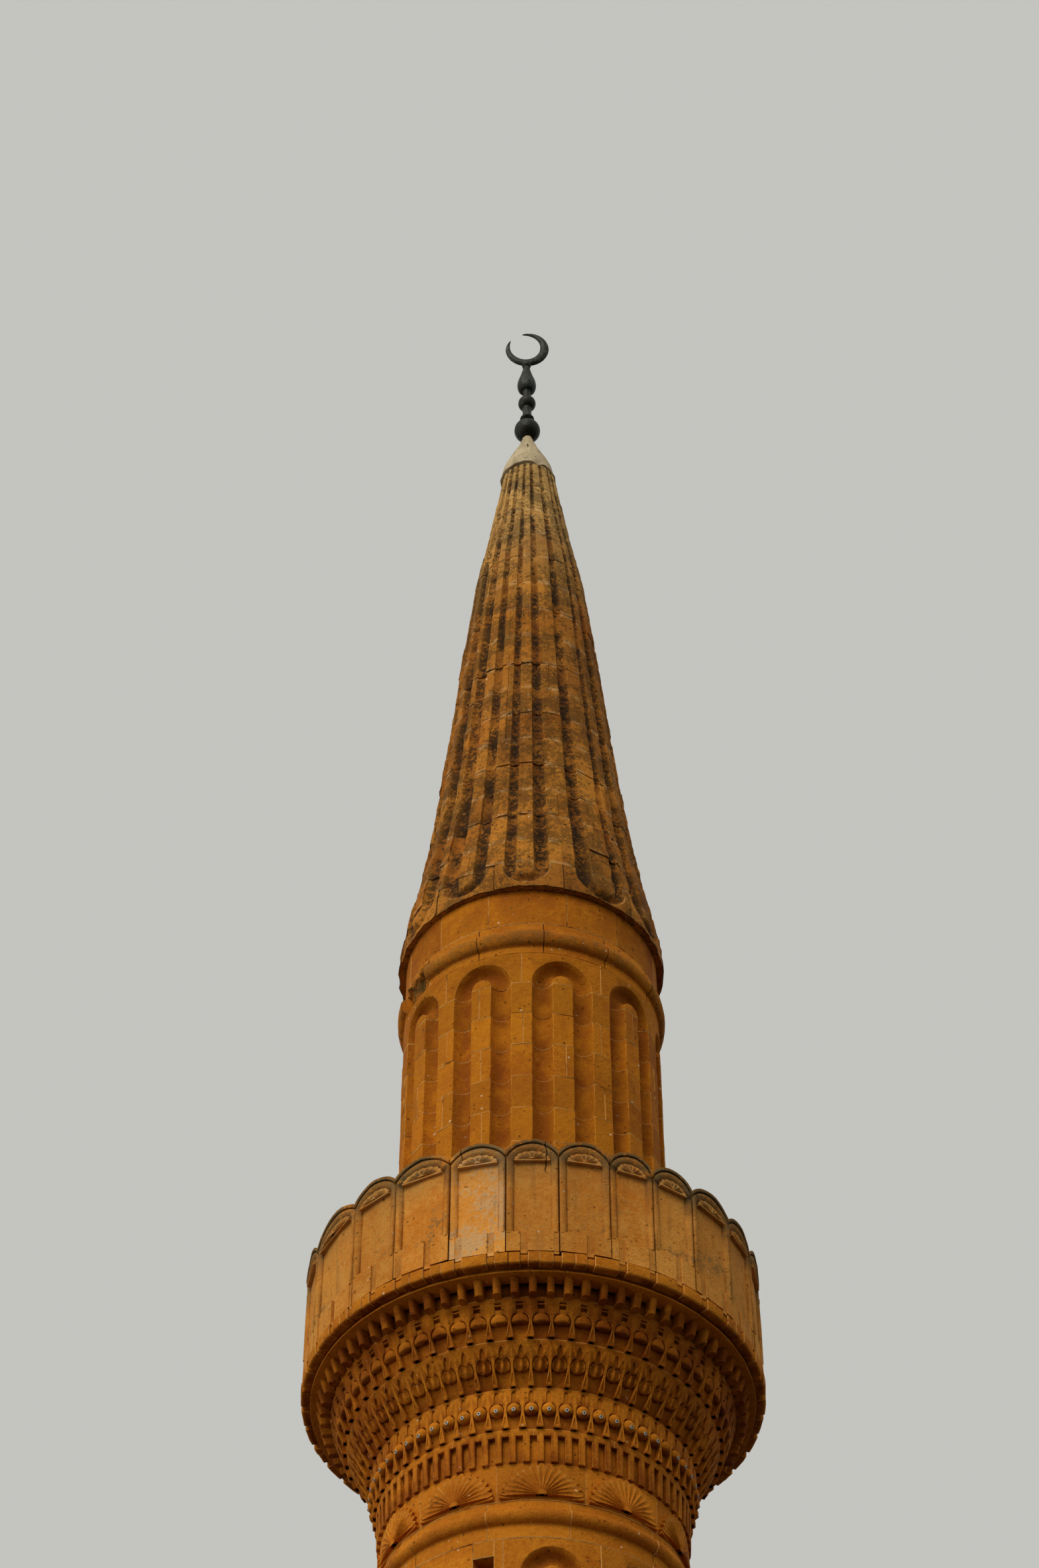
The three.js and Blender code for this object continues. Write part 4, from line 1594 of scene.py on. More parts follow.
        # The rows under the leaves are painted shadow, and the top row is a dark painted outline where the leaves meet
        # the arch.
        rows = [
            [(x, y + 0.06, z, 1.7) for x, y, z, _ in across],
            [(x, y + 0.006, z - 0.003, 1.2) for x, y, z, _ in across],
            [(x, y, z + 0.003, 0.0) for x, y, z, _ in across],
            [(x, 0.9 * y, 0.45 * z + 0.55 * top, 0.0) for x, y, z, top in across],
            [(0.98 * x, 0.5 * y, top - 0.012, 0.0) for x, y, _, top in across],
            [(x, -0.001, top - 0.002, 0.0) for x, _, _, top in across],
            [(x, 0.03, top + 0.001, 1.6) for x, _, _, top in across],
        ]
        body.relief(rows, BACK)
        work = self.raise_tier(self.lobe_tier, opening, body, niche, 0.022)
        work.finish(self.finish, Slot.OCHRE, [self.lobe_tier.node])

    def balls(self) -> None:
        """Builds the tier of balls."""
        opening = (
            (0.0, 0.315), (0.010, 0.309), (0.018, 0.294), (0.020, 0.278), (0.020, 0.213), (0.031, 0.211),
            (0.043, 0.203), (0.051, 0.191), (0.0555, 0.176), (0.0575, 0.150), (0.054, 0.110), (0.049, 0.070),
            (0.042, 0.030), (0.0355, 0.0),
        )
        niche = ((0.0, 0.100), (0.006, 0.080), (0.011, 0.055), (0.0165, 0.0))
        body = Stonework("ball")
        arch_cusp = ((0.0, 0.322), (0.024, 0.305), (0.024, 0.212), (0.012, 0.210), (0.0, 0.204))
        # The plate behind the ball gets a little painted shade.
        body.slab(mirrored(arch_cusp), 0.012, BACK, hollow=0.2)
        ball = (
            (0.0, 0.2105), (0.028, 0.203), (0.045, 0.187), (0.0535, 0.168), (0.0545, 0.156), (0.052, 0.142),
            (0.045, 0.127), (0.030, 0.113), (0.0, 0.107),
        )
        body.turned(ball, 14, 0.012, 0.80)
        work = self.raise_tier(self.ball_tier, opening, body, niche, 0.030)
        work.finish(self.finish, Slot.OCHRE, [self.ball_tier.node])

    def beads(self) -> None:
        """Builds the small glazed beads on the balls, a few of which are lost."""
        tier = self.ball_tier
        bottom, top = height_span(tier.node)
        shell = Shell(((bottom, tier.foot), (top, tier.lip)), ((bottom, tier.core),), tier.lip)
        start = shell.along(tier.first)
        pitch = math.tau * tier.lip / tier.count
        stream = random.Random(tier.seed)
        places = [start + i * pitch for i in range(tier.count) if stream.random() > self.lost_beads]
        kinds = (("beads", 0.0150, -0.030, self.glaze), ("bead_centres", 0.0078, -0.0335, self.pupil))
        for name, radius, depth, finish in kinds:
            bead = Stonework(name)
            corners = [(radius * math.cos(a), 0.137 + radius * math.sin(a)) for a in spread(0, math.tau, 8)[:-1]]
            bead.slab(corners, depth, 0.01)
            bead.turn_out()
            beads = Stonework("corbel_" + name, tier.seed)
            beads.repeat(bead, places)
            beads.shift((0, 0, bottom))
            beads.move(shell.place)
            beads.finish(finish, Slot.OCHRE, [])

    def teeth(self) -> None:
        """Builds the tier of long slots."""
        half, height = 0.0275, 0.225
        work = self.raise_tier(self.tooth_tier, ((0.0, height), (half, height), (half, 0.0)))
        work.finish(self.finish, Slot.OCHRE, [self.tooth_tier.node])

    def fans(self) -> None:
        """Builds the tier of shell fans."""
        bottom, top = height_span("corbel_fans")
        foot, lip = self.fan_face
        shell = Shell(((bottom, foot), (top, lip)), ((bottom, BORE),), lip)
        work = Stonework("corbel_fans_carving", 55)
        masonry = Masonry(work, shell, Relief(), self.weather)
        pitch = 360 / self.fan_count
        joints = [shell.along(self.first_fan + pitch * (i - 0.5)) for i in range(self.fan_count + 1)]
        masonry.lay(bottom, top, joints)
        fan = Fan(half=0.315, height=0.284, petals=15, foot=0.032, crest=0.018, ridge=0.0065, ledge=0.018)
        fans = Stonework("fans", 55)
        centres = [shell.along(self.first_fan + pitch * i) for i in range(self.fan_count)]
        fans.repeat(fan.cut(bottom + 0.032, 0.0, 0.5), centres)
        fans.move(shell.place)
        work.absorb(fans)
        # Painted shade on the faces that look down.
        work.paint_underside_shade(0.6)
        work.finish(self.finish, Slot.OCHRE, ["corbel_fans"])

    def billets(self) -> None:
        """Builds the row of round billets under the cornice."""
        bottom, top = height_span("corbel_billets")
        foot, lip = self.peg_face
        shell = Shell(((bottom, foot), (top, lip)), ((bottom, self.peg_core[0]),), lip)
        work = Stonework("corbel_billets_carving", 56)
        pegs = Stonework("pegs", 56)
        plan = [(math.cos(a), self.peg_nose - self.peg_nose * math.sin(a)) for a in spread(0, math.pi, 6)]
        pitch = shell.along(360 / self.peg_count)
        behind, high = 0.09, top + 0.01
        for i in range(self.peg_count):
            x = pitch * i + pegs.random.uniform(-0.003, 0.003)
            end = bottom - 0.016 + pegs.random.uniform(0, 0.008)
            tone = pegs.random.random()
            half = pegs.random.uniform(*self.peg_half)
            points = [(x + half * across, y, end) for across, y in plan]
            face = pegs.outline([(x + half, behind, end), *points, (x - half, behind, end)], tone)
            pegs.extrude([face], Vector((0, 0, high - end)))
        pegs.turn_out()
        # Painted shade over the billets, which lie under the cornice's overhang.
        pegs.mark(1.12)
        pegs.move(shell.place)
        work.absorb(pegs)
        # Near-black painted shadow on the wall between the billets, and painted shade on the faces that look down.
        self.core(work, list(zip((bottom, top), self.peg_core)), dark=2.0)
        work.paint_underside_shade(1.2)
        work.finish(self.finish, Slot.OCHRE, ["corbel_billets"])


@dataclass
class Cornice:
    """The balcony's cornice: fillets, a hollow, and blocks with lower stones between.

    Attributes:
        finish: Stone finish.
        lows: Number of lower stones round the tower.
        first_low: Azimuth of one of them.
        low: Degrees across a lower stone.
        radius: Radius of the blocks' faces.
        back: Radius of their backs.
        hollow: Radius of the hollow's deepest line.
        core: Radius of the hollow stones' backs.
        under: Distance from the bed up to the blocks' undersides.
        undivided: Share of the blocks that are of one stone.
    """

    finish: bpy.types.Material
    lows: int = 45
    first_low: float = -2.0
    low: float = 1.9
    radius: float = 1.866
    back: float = 1.78
    hollow: float = 1.752
    core: float = 1.56
    under: float = 0.032
    undivided: float = 0.4

    def low_places(self) -> list[float]:
        """Returns the azimuths of the lower stones."""
        return [self.first_low + 360 / self.lows * i for i in range(self.lows)]

    def build(self) -> None:
        """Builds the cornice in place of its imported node."""
        bottom, top = height_span("balcony_cornice")
        work = Stonework("balcony_cornice_stones", 61)
        shell, outer = Shell.upright(self.hollow, self.core), Shell.upright(self.radius, self.back)
        joints = [shell.along(azimuth) for azimuth in spread(-171.5, 188.5, 22)]
        self.lay_hollow(work, shell, joints, bottom, top)
        self.lay_blocks(work, outer, bottom + self.under, top)
        # A strip set back behind the blocks' tops, painted near-black as painted shadow in the gaps there.
        bedding = Moulding(((0.035, top - 0.03), (0.035, top + 0.02))).cut(joints, work.random)
        bedding.mark(1.9)
        bedding.move(outer.place)
        work.absorb(bedding)
        work.finish(self.finish, Slot.OCHRE, ["balcony_cornice"])

    @staticmethod
    def lay_hollow(work: Stonework, shell: Shell, joints: Sequence[float], bottom: float, top: float) -> None:
        """Lays the ring with the fillets and the hollow.

        Args:
            work: The cornice's stonework.
            shell: Wall that the ring is wrapped onto.
            joints: Places of its upright joints.
            bottom: Height of its bed.
            top: Height of its top.
        """
        ring = Masonry(work, shell, Relief(), Weather(jog=0.001, sway=0.002, pit=0.002, groove=0.003))
        steps = (
            (-0.034, 0.0), (-0.034, 0.013), (-0.024, 0.015), (-0.024, 0.024), (-0.010, 0.032), (0.004, 0.042),
            (-0.004, 0.052), (-0.030, 0.061), (-0.045, 0.063), (-0.045, top - bottom),
        )
        hollow = Moulding(tuple((y, bottom + z) for y, z in steps)).cut(joints, work.random)
        # Near-black painted shadow on the upper part of the hollow, under the blocks.
        hollow.mark(1.2, lambda co: co.z > bottom + 0.055)
        ring.set_in(hollow, joints, beds=[])

    def lay_blocks(self, work: Stonework, outer: Shell, under: float, top: float) -> None:
        """Lays the blocks under the parapet, with a lower stone between each two.

        Args:
            work: The cornice's stonework.
            outer: Wall that they are wrapped onto.
            under: Height of their undersides.
            top: Height of the cornice's top.
        """
        blocks = Masonry(work, outer, Relief(), Weather(jog=0.003, sway=0.003, pit=0.004, grain=0.06))
        pitch = 360 / self.lows
        spans = []
        for azimuth in self.low_places():
            left, right = azimuth + self.low / 2, azimuth + pitch - self.low / 2
            middle = left + (right - left) * work.random.uniform(0.35, 0.65)
            ends = [left, right] if work.random.random() < self.undivided else [left, middle, right]
            spans += [(outer.along(a), outer.along(b)) for a, b in zip(ends, ends[1:])]
        face = (
            (0.070, under + 0.004), (0.034, under + 0.002), (0.012, under), (0.002, under + 0.012), (0.0, top - 0.004),
        )
        edges = [x for span in spans for x in span]
        self.set_blocks(blocks, Moulding(face, facet=0.07), spans, edges)
        lows = [(outer.along(a - self.low / 2), outer.along(a + self.low / 2)) for a in self.low_places()]
        face = ((0.055, under + 0.014), (0.030, under + 0.013), (0.018, under + 0.022), (0.014, top - 0.026))
        self.set_blocks(blocks, Moulding(face), lows, edges)

    @staticmethod
    def set_blocks(masonry: Masonry, moulding: Moulding, spans: Sequence[Point], edges: Sequence[float]) -> None:
        """Sets blocks in, with near-black painted shadow under them.

        Args:
            masonry: What lays them.
            moulding: Their face.
            spans: Left and right end of each.
            edges: Places that count as upright joints.
        """
        stones = moulding.cut_spans(spans, masonry.work.random)
        stones.mark(1.2, lambda co: co.y > 0.03)
        masonry.set_in(stones, edges, beds=[])


@dataclass
class Parapet:
    """The balcony's parapet of arched panels.

    Attributes:
        finish: Stone finish.
        lows: Azimuths of the cornice's lower stones, which the panels' knobs fill.
        front: Azimuths of the joints that show.
        panels: Number of panels.
        washed: Number of the panel with pale wash on it.
        radius: Radius of the panels' faces.
        thickness: Their thickness.
        valley: Height of the arches' ends.
        crown: Height of the arches' crowns.
        gap: Half width of the joints.
        rim: Height of the flat rim.
        groove: Width of the groove under it.
        jamb: Width of rim, groove and moulding at the sides.
        field: Depth of the panel's field.
        ledge_drop: Distance from the crown down to the ledge.
        shell_rise: Height of the field's arch over the ledge.
        arch_steps: Facets of the arches.
        bed: Distance from the cornice's top to the panels.
        foot_rise: Least and greatest height of a panel's plain foot over the cornice.
        slot: Half width of the slots in the plain foot.
        knob: Half width of the knobs below it.
    """

    finish: bpy.types.Material
    lows: list[float]
    front: tuple[float, ...] = (-69.6, -49.8, -35.6, -20.4, -6.4, 6.5, 19.2, 31.0, 43.3, 57.7, 71.6)
    panels: int = 26
    washed: int = 3
    radius: float = 1.868
    thickness: float = 0.14
    valley: float = 18.770
    crown: float = 18.872
    gap: float = 0.0045
    rim: float = 0.026
    groove: float = 0.009
    jamb: float = 0.060
    field: float = 0.034
    ledge_drop: float = 0.212
    shell_rise: float = 0.110
    arch_steps: int = 14
    bed: float = 0.011
    foot_rise: Point = (0.20, 0.27)
    slot: float = 0.030
    knob: float = 0.026

    def build(self) -> None:
        """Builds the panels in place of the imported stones."""
        self.shell = Shell.upright(self.radius, self.radius - self.thickness)
        self.work = Stonework("parapet_panels", 71)
        hidden = self.panels - len(self.front) + 1
        rest = spread(self.front[-1], self.front[0] + 360, hidden)
        azimuths = [*self.front, *rest[1:]]
        bottom, _ = height_span("parapet_stone_01")
        for number, (left, right) in enumerate(zip(azimuths, azimuths[1:])):
            self.panel(number, left, right, bottom)
        nodes = [f"parapet_stone_{i:02d}" for i in range(1, self.panels // 2 + 1)]
        self.work.finish(self.finish, Slot.PARAPET, nodes)

    def arch(self, half: float, inset: float, share: float) -> Point:
        """Point on the arch of the top edge.

        Args:
            half: Half width of the panel.
            inset: Distance inside the edge.
            share: Place from -1 at the left end to 1.

        Returns:
            (x, z) of the point.
        """
        rise = self.crown - self.valley
        radius = (half * half + rise * rise) / (2 * rise)
        x = half * math.sin(share * math.pi / 2)
        return x, self.crown - radius + math.sqrt((radius - inset) ** 2 - x * x)

    def panel(self, number: int, left: float, right: float, bottom: float) -> None:
        """Builds one panel.

        Args:
            number: Its number from the left.
            left: Azimuth of its left joint.
            right: Azimuth of its right joint.
            bottom: Height of the cornice's top.
        """
        middle = (left + right) / 2
        half = self.shell.along((right - left) / 2) - self.gap
        tone = WASHED_TONE if number == self.washed else self.work.random.random()
        foot = bottom + self.bed
        base_top = bottom + self.work.random.uniform(*self.foot_rise)
        stone = Stonework("panel")
        shares = spread(-1, 1, self.arch_steps)
        top = [self.arch(half, 0.004, share) for share in shares]
        stone.slab([(-half, foot), (half, foot), *reversed(top)], self.field, BACK, tone)
        section = ((0.0, 0.004, 0.9), (0.0, 0.0, 0.6), (self.rim * 0.5, 0.0, 0.5), (self.rim, 0.004, 1.0))
        rows = [
            [(x, depth, z, hollow) for x, z in (self.arch(half, inset, share) for share in shares)]
            for inset, depth, hollow in section
        ]
        stone.relief(rows, 0.11, tone)
        self.frame(stone, half, base_top, tone)
        ledge = self.crown - self.ledge_drop
        self.base_zone(stone, half, foot, base_top, middle, tone)
        shell_half = half - self.jamb - 0.004
        fan = Fan(
            half=shell_half, height=self.shell_rise - 0.012, petals=7, foot=0.034, crest=0.018, ridge=0.0065,
            ledge=0.016,
        )
        leaves = fan.cut(ledge + 0.012, self.field, tone)
        # Much darker painted shade in the shell's scoops, and pale marks on its ridges.
        for vertex in leaves.bm.verts:
            shade = vertex[leaves.hollow]
            vertex[leaves.hollow] = 3.4 * shade if shade > 0.2 else -0.8
        stone.absorb(leaves)
        stone.turn_out()
        stone.shift((self.shell.along(middle), 0, 0))
        weather = Weather(jog=0.005, sway=0.0, pit=0.005, grain=0.12, groove=0.003)
        Masonry(self.work, self.shell, Relief(), weather).set_in(stone, [], beds=[])

    def frame(self, stone: Stonework, half: float, base_top: float, tone: float) -> None:
        """Adds the round moulding along the jambs and the arch.

        Args:
            stone: The panel.
            half: Its half width.
            base_top: Height where the moulding ends.
            tone: Its tone.
        """
        ledge = self.crown - self.ledge_drop
        inner_half = half - self.jamb
        inset = self.rim + self.groove
        shares = spread(-1, 1, self.arch_steps)
        outer = [self.arch(half, inset, share) for share in shares]
        inner = [
            (inner_half * math.sin(share * math.pi / 2), ledge + self.shell_rise * math.cos(share * math.pi / 2))
            for share in shares
        ]
        rises = [base_top - 0.012, (base_top + ledge) / 2, ledge - 0.02]
        outer = [(-half, z) for z in rises] + outer + [(half, z) for z in reversed(rises)]
        inner = [(-inner_half, z) for z in rises] + inner + [(inner_half, z) for z in reversed(rises)]
        streak = 1.75 if 0.5 < tone <= 1.0 else 1.2
        # Hollow marks follow the depth across the moulding, for lichen, dirt and painted shade in its grooves; near
        # the ledge they add dark lichen streaks.
        section = (
            (0.0, 0.016, 1.0), (0.15, 0.007, 0.5), (0.50, 0.009, 0.1), (0.78, 0.020, 0.5),
            (1.0, self.field - 0.001, 1.0),
        )
        rows = []
        for share, depth, hollow in section:
            row = []
            for (x0, z0), (x1, z1) in zip(outer, inner):
                z = z0 + (z1 - z0) * share
                near = 1 - abs(z - ledge - 0.02) / 0.13
                row.append((x0 + (x1 - x0) * share, depth, z, max(hollow, near * streak)))
            rows.append(row)
        stone.relief(rows, 0.06, tone)

    def base_zone(
        self, stone: Stonework, half: float, foot: float, top: float, middle: float, tone: float
    ) -> None:
        """Adds the panel's plain foot with its upright slots, and the knobs below it.

        Args:
            stone: The panel.
            half: Its half width.
            foot: Height of its bed.
            top: Height of the plain foot's top.
            middle: Azimuth of its middle.
            tone: Its tone.
        """
        places = [self.shell.along(azimuth + turn - middle) for azimuth in self.lows for turn in (-360, 0, 360)]
        places = sorted(x for x in places if abs(x) < half + 0.022)
        # The backing that shows in the slots is darkened, as painted shade.
        stone.slab(upright_box(-half, half, foot, top), 0.012, 0.06, tone, 0.6)
        edges = [-half, *(edge for x in places for edge in (x - self.slot, x + self.slot)), half]
        for left, right in zip(edges[::2], edges[1::2]):
            if right - left > 0.01:
                stone.slab(upright_box(left, right, foot, top), 0.012, 0.06, tone)
        for x in places:
            low, high = max(x - self.knob, -half), min(x + self.knob, half)
            if high - low > 0.006:
                stone.slab(upright_box(low, high, foot - 0.026, foot + 0.01), 0.0185, 0.1, tone)


@dataclass
class Spire:
    """The fluted stone spire, with round-nosed ribs over its eave.

    Attributes:
        finish: Stone finish.
        reference: Radius at which x is an arc length.
        profile: (height, radius) pairs of the face.
        hollow: (height, radius) pairs of the inner face.
        ribs: (centre, width) in degrees of the ribs that show, plain and nosed in turn.
        back_ribs: Number of ribs on the side that doesn't show.
        back_rib: Width of one of them in degrees.
        nose_line: Height of the joint over the noses.
        nose_drop: Distance from that joint down to the noses' centres.
        first_bed: Height of the next joint.
        low_course: Height of the courses in the lower half.
        high_course: Height of the courses in the upper half.
        change: Height where the courses change.
        depth_share: Depth of a flute, as a share of its width.
        stone: Length that a block aims for.
    """

    finish: bpy.types.Material
    reference: float = 1.19
    profile: tuple[Point, ...] = (
        (22.40, 1.191), (22.54, 1.190), (22.78, 1.152), (23.04, 1.113), (23.46, 1.032), (23.92, 0.966),
        (24.38, 0.913), (24.84, 0.859), (25.32, 0.814), (25.80, 0.768), (26.28, 0.720), (26.78, 0.672),
        (27.30, 0.615), (27.84, 0.558), (28.38, 0.475), (28.92, 0.390), (29.38, 0.327), (29.71, 0.282),
    )
    hollow: tuple[Point, ...] = (
        (22.40, 0.79), (23.92, 0.75), (25.80, 0.56), (27.84, 0.35), (28.60, 0.03), (29.71, 0.03),
    )
    ribs: tuple[Point, ...] = (
        (-45.3, 5.1), (-30.3, 7.1), (-16.0, 8.1), (-2.5, 7.4), (14.3, 11.7), (34.1, 11.6), (48.2, 5.9),
    )
    back_ribs: int = 15
    back_rib: float = 8.2
    nose_line: float = 22.74
    nose_drop: float = 0.08
    first_bed: float = 23.10
    low_course: float = 0.405
    high_course: float = 0.447
    change: float = 25.93
    depth_share: float = 0.36
    stone: float = 0.42

    def build(self) -> None:
        """Builds the foot with its noses, then the courses in four pieces."""
        self.shell = Shell(self.profile, self.hollow, self.reference, tapers=True)
        self.set_out()
        weather = Weather(jog=0.010, sway=0.012, pit=0.014, grain=0.09, groove=0.006, worn=0.45)
        beds = self.beds()
        for number, node in enumerate(("spire_foot", "spire_lower", "spire_middle", "spire_top")):
            bottom, top = height_span(node)
            work = Stonework(node + "_blocks", 41 + number)
            masonry = Masonry(work, self.shell, self.relief, weather, row=0.05)
            if number == 0:
                self.foot(work, masonry)
            for course, (bed, level) in enumerate(zip(beds, beds[1:])):
                if bottom - 0.2 <= bed < top - 0.2:
                    masonry.lay(bed, level, self.joints(bed, course, work.random))
            work.finish(self.finish, Slot.SPIRE, [node])

    def set_out(self) -> None:
        """Places the ribs round the spire and the flutes between them."""
        first, last = self.ribs[0], self.ribs[-1]
        step = (first[0] + 360 - last[0]) / (self.back_ribs + 1)
        hidden = [(last[0] + step * i, self.back_rib) for i in range(1, self.back_ribs + 1)]
        self.all_ribs = [*self.ribs, *hidden]
        turns = [(centre + turn, width) for turn in (-360, 0, 360) for centre, width in self.all_ribs]
        flutes = []
        for (centre, width), (after, after_width) in zip(turns, turns[1:]):
            left, right = centre + width / 2, after - after_width / 2
            half = self.shell.along((right - left) / 2)
            flutes.append((self.shell.along((left + right) / 2), half, 2 * half * self.depth_share))
        self.flutes = flutes
        self.relief = Relief(tuple(flutes), steps=6, facet=0.045)

    def beds(self) -> list[float]:
        """Returns the heights of the level joints from the noses to the cap."""
        _, top = height_span("spire_top")
        low = round((self.change - self.first_bed) / self.low_course)
        high = round((top - self.change) / self.high_course)
        lower = spread(self.first_bed, self.change, low)
        return [self.nose_line, *lower, *spread(self.change, top, high)[1:]]

    def joints(self, bed: float, course: int, stream: random.Random) -> list[float]:
        """Upright joints of a course, in the middle of ribs or along a flute's rim.

        Args:
            bed: Height of the course.
            course: Its number.
            stream: Random stream.

        Returns:
            Places along the wall.
        """
        radius = interpolate(self.profile, bed)
        spacing = math.tau * radius / len(self.all_ribs)
        stride = max(1, round(self.stone / spacing))
        chosen = self.all_ribs[course * 2 % stride if stride > 1 else 0::stride]
        return self.shell.around([
            centre + (stream.choice((0.0, 0.0, -0.5, 0.5)) * width + stream.uniform(-0.8, 0.8))
            for centre, width in chosen
        ])

    def foot(self, work: Stonework, masonry: Masonry) -> None:
        """Cuts the eave stones, each with a nosed rib whose flutes meet under it."""
        bottom, _ = height_span("spire_foot")
        count = len(self.all_ribs)
        for number in range(1, count, 2):
            before = self.all_ribs[number - 1][0]
            centre, width = self.all_ribs[number]
            after = self.all_ribs[(number + 1) % count][0]
            if number + 1 == count:
                after += 360
            left_flute = self.flutes[count + number - 1]
            right_flute = self.flutes[count + number]
            rib = self.shell.along(width / 2)
            head = ArchHead(
                rib, 2 * left_flute[1], 2 * right_flute[1], over=0.13, depth=0.05, blunt=1.0, rays=16
            )
            x = self.shell.along(centre)
            sides = (x - self.shell.along(before), self.shell.along(after) - x)
            place = (x, self.nose_line - self.nose_drop)
            stone = head.cut(place, self.nose_line, bottom, sides, work.random.random())
            masonry.set_in(stone, [x - sides[0], x + sides[1]])


@dataclass(frozen=True)
class Side:
    """One side of the square base, that flat-cut stones are set into.

    Attributes:
        turns: Quarter turns from the front.
        half: Distance from the axis to the face.
        room: Distance from the axis to the back.
        mitred: Whether the stones' ends follow the corner's diagonal.
    """

    turns: int
    half: float
    room: float
    mitred: bool = False

    def place(self, x: float, y: float, z: float) -> Vector:
        """Place of a flat-cut point on the base.

        Args:
            x: Distance along the side from its middle.
            y: Depth behind the face, or BACK on the inner face.
            z: Height.

        Returns:
            The point in the part's frame.
        """
        out = self.room if y > BACK / 2 else self.half - y
        if self.mitred:
            x *= out / self.half
        return Matrix.Rotation(self.turns * math.pi / 2, 3, "Z") @ Vector((x, -out, z))


@dataclass(frozen=True)
class Shoulder:
    """The block that goes over from the square base to the round shaft.

    Attributes:
        bottom: Height of its bed.
        top: Height of its top.
        square: Half width of its square bed.
        corner: Radius that trims the bed's corners.
        above: Radius at the top.
        inner: Radius of the hollow.
    """

    bottom: float
    top: float
    square: float = 1.60
    corner: float = 2.16
    above: float = 1.29
    inner: float = BORE

    def place(self, x: float, y: float, z: float) -> Vector:
        """Place of a flat-cut point, with x as an arc at the top's radius."""
        share = (z - self.bottom) / (self.top - self.bottom)
        angle = x / self.above
        across = max(abs(math.sin(angle)), abs(math.cos(angle)))
        flat = (self.square + (self.above - self.square) * share) / across
        cone = self.corner + (self.above - self.corner) * share
        radius = self.inner if y > BACK / 2 else min(flat, cone) - y
        return Vector((radius * math.sin(angle), -radius * math.cos(angle), z))


